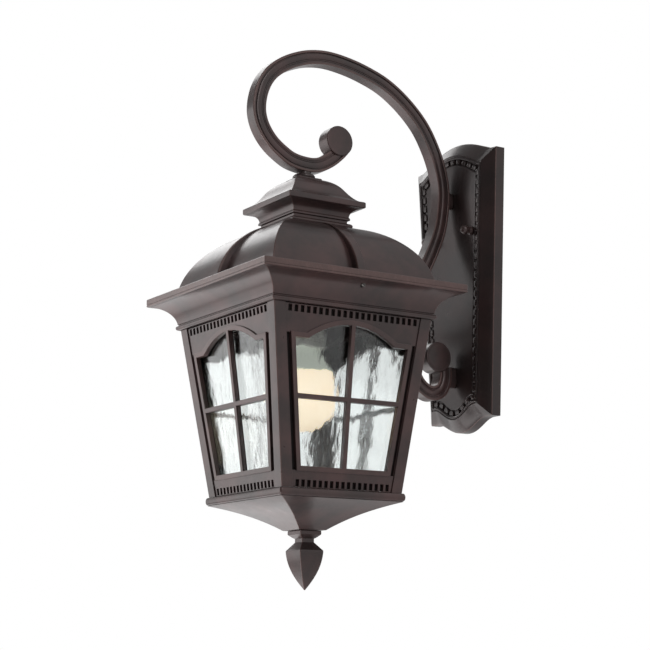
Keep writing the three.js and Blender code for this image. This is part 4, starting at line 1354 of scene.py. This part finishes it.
def buildHolderBody():
    s = holderShape
    low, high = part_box("socket_body")
    radius, inner, way, soft = high.x, high.x - s["bodyWall"], s["bodyWay"], s["footRound"]
    groove = radius - 0.7 * mm
    ribs = []
    for i in range(s["ribs"]):
        z = low.z + (s["ribStart"] + i * s["ribPitch"]) * mm
        ribs += [(radius, z), (groove, z + 0.5 * mm), (groove, z + 1.1 * mm), (radius, z + 1.6 * mm)]
    turns = [math.radians(30 * i) for i in range(4)]
    foot = [(radius - soft + soft * math.sin(t), low.z + soft - soft * math.cos(t)) for t in turns]
    webTop = high.z - s["webDepth"]
    webFoot = webTop - s["webThick"]
    profile = [
        (inner, low.z), *foot, *ribs, (radius, high.z - 0.6 * mm), (radius - 0.6 * mm, high.z),
        (inner, high.z), (inner, webTop), (way, webTop), (way, webFoot), (inner, webFoot),
    ]
    bm = bmesh.new()
    roundForm(bm, profile, 64)
    finishPiece(bm, "holder_body", "mount", [porcelain], ["socket_body"])


def buildHolderThread():
    s = holderShape
    low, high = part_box("socket_thread")
    radius, inner, bore = high.x, high.x - s["threadWall"], s["threadBore"]
    turns, perTurn, ceiling = s["threadTurns"], 6, high.z - s["threadWall"]
    pitch = (high.z - low.z - 3 * mm) / turns
    outside, inside = [], []
    for i in range(turns * perTurn + 1):
        z = low.z + 0.5 * mm + pitch * i / perTurn
        wave = s["threadDepth"] * (1 - math.cos(2 * math.pi * i / perTurn)) / 2
        outside.append((radius - wave, z))
        inside.append((radius - wave - 0.5 * mm, z))
    profile = [
        (inner, low.z), (radius, low.z), *outside, (radius, high.z), (bore, high.z), (bore, ceiling),
        (inner, ceiling), *reversed(inside),
    ]
    bm = bmesh.new()
    roundForm(bm, profile, 48)
    finishPiece(bm, "holder_thread", "mount", [brass], ["socket_thread"])


lampShape = {
    "turns": 5,
    "threadDepth": 0.9 * mm,
    # radii and depths under the top of the screw cap's contact end, in millimetres
    "tip": [(9, 2.8), (8, 2.2), (5, 1.6), (4.6, 0.6), (3.6, 0.1)],
    "neckTop": 14.4 * mm,
    "widest": 29 * mm,
    "segments": 72,
}


def buildLampCap():
    s = lampShape
    low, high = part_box("bulb_cap")
    radius = high.x
    start, end = low.z + 4 * mm, high.z - 6 * mm
    perTurn = 8
    count = s["turns"] * perTurn
    threads = []
    for i in range(count + 1):
        wave = (1 - math.cos(2 * math.pi * i / perTurn)) / 2
        threads.append((radius - s["threadDepth"] * wave, start + (end - start) * i / count))
    profile = [
        (0, low.z), (radius - 0.3 * mm, low.z), (radius - 0.1 * mm, low.z + 0.4 * mm),
        (radius - 0.1 * mm, start), *threads, (radius - 1 * mm, high.z - 5 * mm),
        *[(r * mm, high.z - drop * mm) for r, drop in s["tip"]], (0, high.z),
    ]
    bm = bmesh.new()
    roundForm(bm, profile, 56)
    finishPiece(bm, "lamp_screw_cap", "lamp", [lampCapMetal], ["bulb_cap"])


def buildLampBulb():
    s = lampShape
    low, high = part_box("bulb_neck")
    wide, narrow = high.x, s["neckTop"]
    side = bend(
        (wide, low.z + 0.6 * mm), (wide * 0.82, low.z + 10 * mm), (narrow + 1.6 * mm, high.z - 10 * mm),
        (narrow, high.z - 0.4 * mm), 24,
    )
    profile = [(0, low.z), (wide - 0.5 * mm, low.z), *side, (narrow - 0.4 * mm, high.z), (0, high.z)]
    bm = bmesh.new()
    roundForm(bm, profile, s["segments"])
    finishPiece(bm, "lamp_neck", "lamp", [lampShell], ["bulb_neck"])
    low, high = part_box("bulb_globe")
    radius, middle = high.x, low.z + s["widest"]
    bottom = bend((0, low.z), (radius * 0.62, low.z), (radius, low.z + 13 * mm), (radius, middle), 26)
    upper = bend(
        (radius, middle), (radius, low.z + 40 * mm), (wide + 1.4 * mm, high.z - 8 * mm), (wide, high.z), 16,
    )
    bm = bmesh.new()
    roundForm(bm, [*bottom, *upper[1:], (0, high.z)], s["segments"])
    finishPiece(bm, "lamp_globe", "lamp", [litDiffuser], ["bulb_globe"], crease=60)


buildHolderCap()
buildHolderBody()
buildHolderThread()
buildLampCap()
buildLampBulb()
print("lampholder and lamp built")

# What stays from the frame, with its finish and its edges' softening in millimetres.
keptFinishes = {
    "mounting_bar": (steel, 0.4),
    "ground_screw": (greenLacquer, 0.3),
    "upper_arm_screw": (steel, 0.3),
    "lower_arm_screw": (steel, 0.3),
    "lamp_lead": (leadCover, 0),
    "hanger_washer": (steel, 0.2),
    "hanger_nut": (brass, 0.4),
    "top_frame": (bronze, 0.3),
    "base_bar": (steel, 0.3),
    "finial_nut": (brass, 0.3),
    "glass_clip_front": (steel, 0.12),
    "glass_clip_right": (steel, 0.12),
    "glass_clip_back": (steel, 0.12),
    "glass_clip_left": (steel, 0.12),
    "socket_contact": (brass, 0.3),
}
for node, (finish, edge) in keptFinishes.items():
    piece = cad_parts[node]
    piece.data.materials.clear()
    piece.data.materials.append(finish)
    softenEdges(piece, edge * mm, weighted=False)
print("kept pieces finished:", len(keptFinishes))


floorSettings = {
    "half": 14.0,
    "drop": 1.6,
    "glow": 0.26,
}


def buildStage():
    s = floorSettings
    half, level = s["half"], -s["drop"]
    bm = bmesh.new()
    corners = [(-half, -half), (half, -half), (half, half), (-half, half)]
    bm.faces.new([bm.verts.new((x, y, level)) for x, y in corners])
    mesh = bpy.data.meshes.new("floor")
    bm.to_mesh(mesh)
    bm.free()
    shop = newFinish("pale_floor")
    shade = shop.mix(shop.grain(3, 2), tone(0.82, 0.82, 0.82), tone(0.86, 0.86, 0.86))
    mesh.materials.append(shop.surface(
        Base_Color=shade,
        Roughness=0.9,
        Emission_Color=shade,
        Emission_Strength=s["glow"],
    ))
    floor = bpy.data.objects.new("floor", mesh)
    scene.collection.objects.link(floor)


def areaLight(name, place, target, size, power):
    data = bpy.data.lights.new(name, "AREA")
    data.shape = "RECTANGLE"
    data.size, data.size_y = size
    data.energy = power
    lamp = bpy.data.objects.new(name, data)
    lamp.location = place
    lamp.rotation_euler = (Vector(target) - Vector(place)).to_track_quat("-Z", "Y").to_euler()
    lamp.visible_camera = False
    scene.collection.objects.link(lamp)


worldSettings = {
    "base": 0.11,
    "backdrop": 1.0,
    "lobes": [  # direction, where it starts and is full, power
        ((-0.82, -0.54, 0.15), (0.70, 1.0), 0.09),
        ((-0.80, 0.05, -0.6), (0.62, 0.98), 1.0),
        ((0.0, 0.5, 0.85), (0.6, 1.0), 0.25),
        ((0.82, 0.54, 0.15), (0.6, 1.0), 0.48),
    ],
}


# White where it is seen straight on or through the glass, and soft lobes for the reflections.
def buildWorld():
    s = worldSettings
    world = bpy.data.worlds.new("studio")
    scene.world = world
    shop = Finish(world)
    facing = shop.node("ShaderNodeTexCoord", {}, {}, "Generated")
    glow = s["base"]
    for direction, (start, end), power in s["lobes"]:
        sockets = {0: facing, 1: Vector(direction).normalized()}
        toward = shop.node("ShaderNodeVectorMath", {"operation": "DOT_PRODUCT"}, sockets, "Value")
        glow = shop.ramp(toward * 0.5 + 0.5, (start, 0), (end, 1)) * power + glow
    direct = shop.node("ShaderNodeLightPath", {}, {}, "Is Camera Ray")
    through = shop.node("ShaderNodeLightPath", {}, {}, "Is Transmission Ray")
    seen = direct.math("MAXIMUM", through)
    strength = seen * s["backdrop"] + (1 - seen) * glow
    background = shop.node("ShaderNodeBackground", {}, {"Color": (1, 1, 1, 1), "Strength": strength})
    end = shop.tree.nodes.new("ShaderNodeOutputWorld")
    shop.tree.links.new(background.socket, end.inputs["Surface"])


lanternMiddle = (0, axisY, -0.1)
lightSettings = {  # place, target, size in metres, power in watts
    "near_softbox": ((-0.62, -0.70, -0.08), (0, -0.3, -0.2), (0.26, 0.8), 0.85),
    "low_softbox": ((-1.2, -0.25, -1.1), (0, -0.2, -0.3), (1.1, 1.1), 4.4),
    "left_softbox": ((-1.3, -2.2, 0.3), lanternMiddle, (1.2, 1.8), 6),
    "front_bounce": ((-0.5, -1.6, -1.3), lanternMiddle, (1.6, 1.0), 13),
    "right_fill": ((2.2, -0.3, 1.1), lanternMiddle, (0.7, 1.6), 9),
    "roof_softbox": ((-1.31, 0.05, 0.86), (0, -0.25, 0), (0.7, 0.7), 2.8),
}


def buildLights():
    for name, settings in lightSettings.items():
        areaLight(name, *settings)
    scene.view_settings.view_transform = "Standard"


cameraSettings = {
    "place": Vector((1.3798, -1.0881, -0.4343)),
    "azimuth": math.radians(56.701),
    "pitch": math.radians(11.038),
    "roll": math.radians(-0.237),
    "lens": 92.82,
}


def buildCamera():
    s = cameraSettings
    azimuth, pitch, roll = s["azimuth"], s["pitch"], s["roll"]
    flat = math.cos(pitch)
    ahead = Vector((-math.sin(azimuth) * flat, math.cos(azimuth) * flat, math.sin(pitch)))
    level = Vector((math.cos(azimuth), math.sin(azimuth), 0))
    up = level.cross(ahead)
    right = level * math.cos(roll) + up * math.sin(roll)
    top = up * math.cos(roll) - level * math.sin(roll)
    data = bpy.data.cameras.new("camera")
    data.lens = s["lens"]
    data.sensor_width = 36
    camera = bpy.data.objects.new("camera", data)
    basis = Matrix((right, top, -ahead)).transposed().to_4x4()
    camera.matrix_world = Matrix.Translation(s["place"]) @ basis
    scene.collection.objects.link(camera)
    scene.camera = camera


buildStage()
buildWorld()
buildLights()
buildCamera()
print("stage, light and camera set")
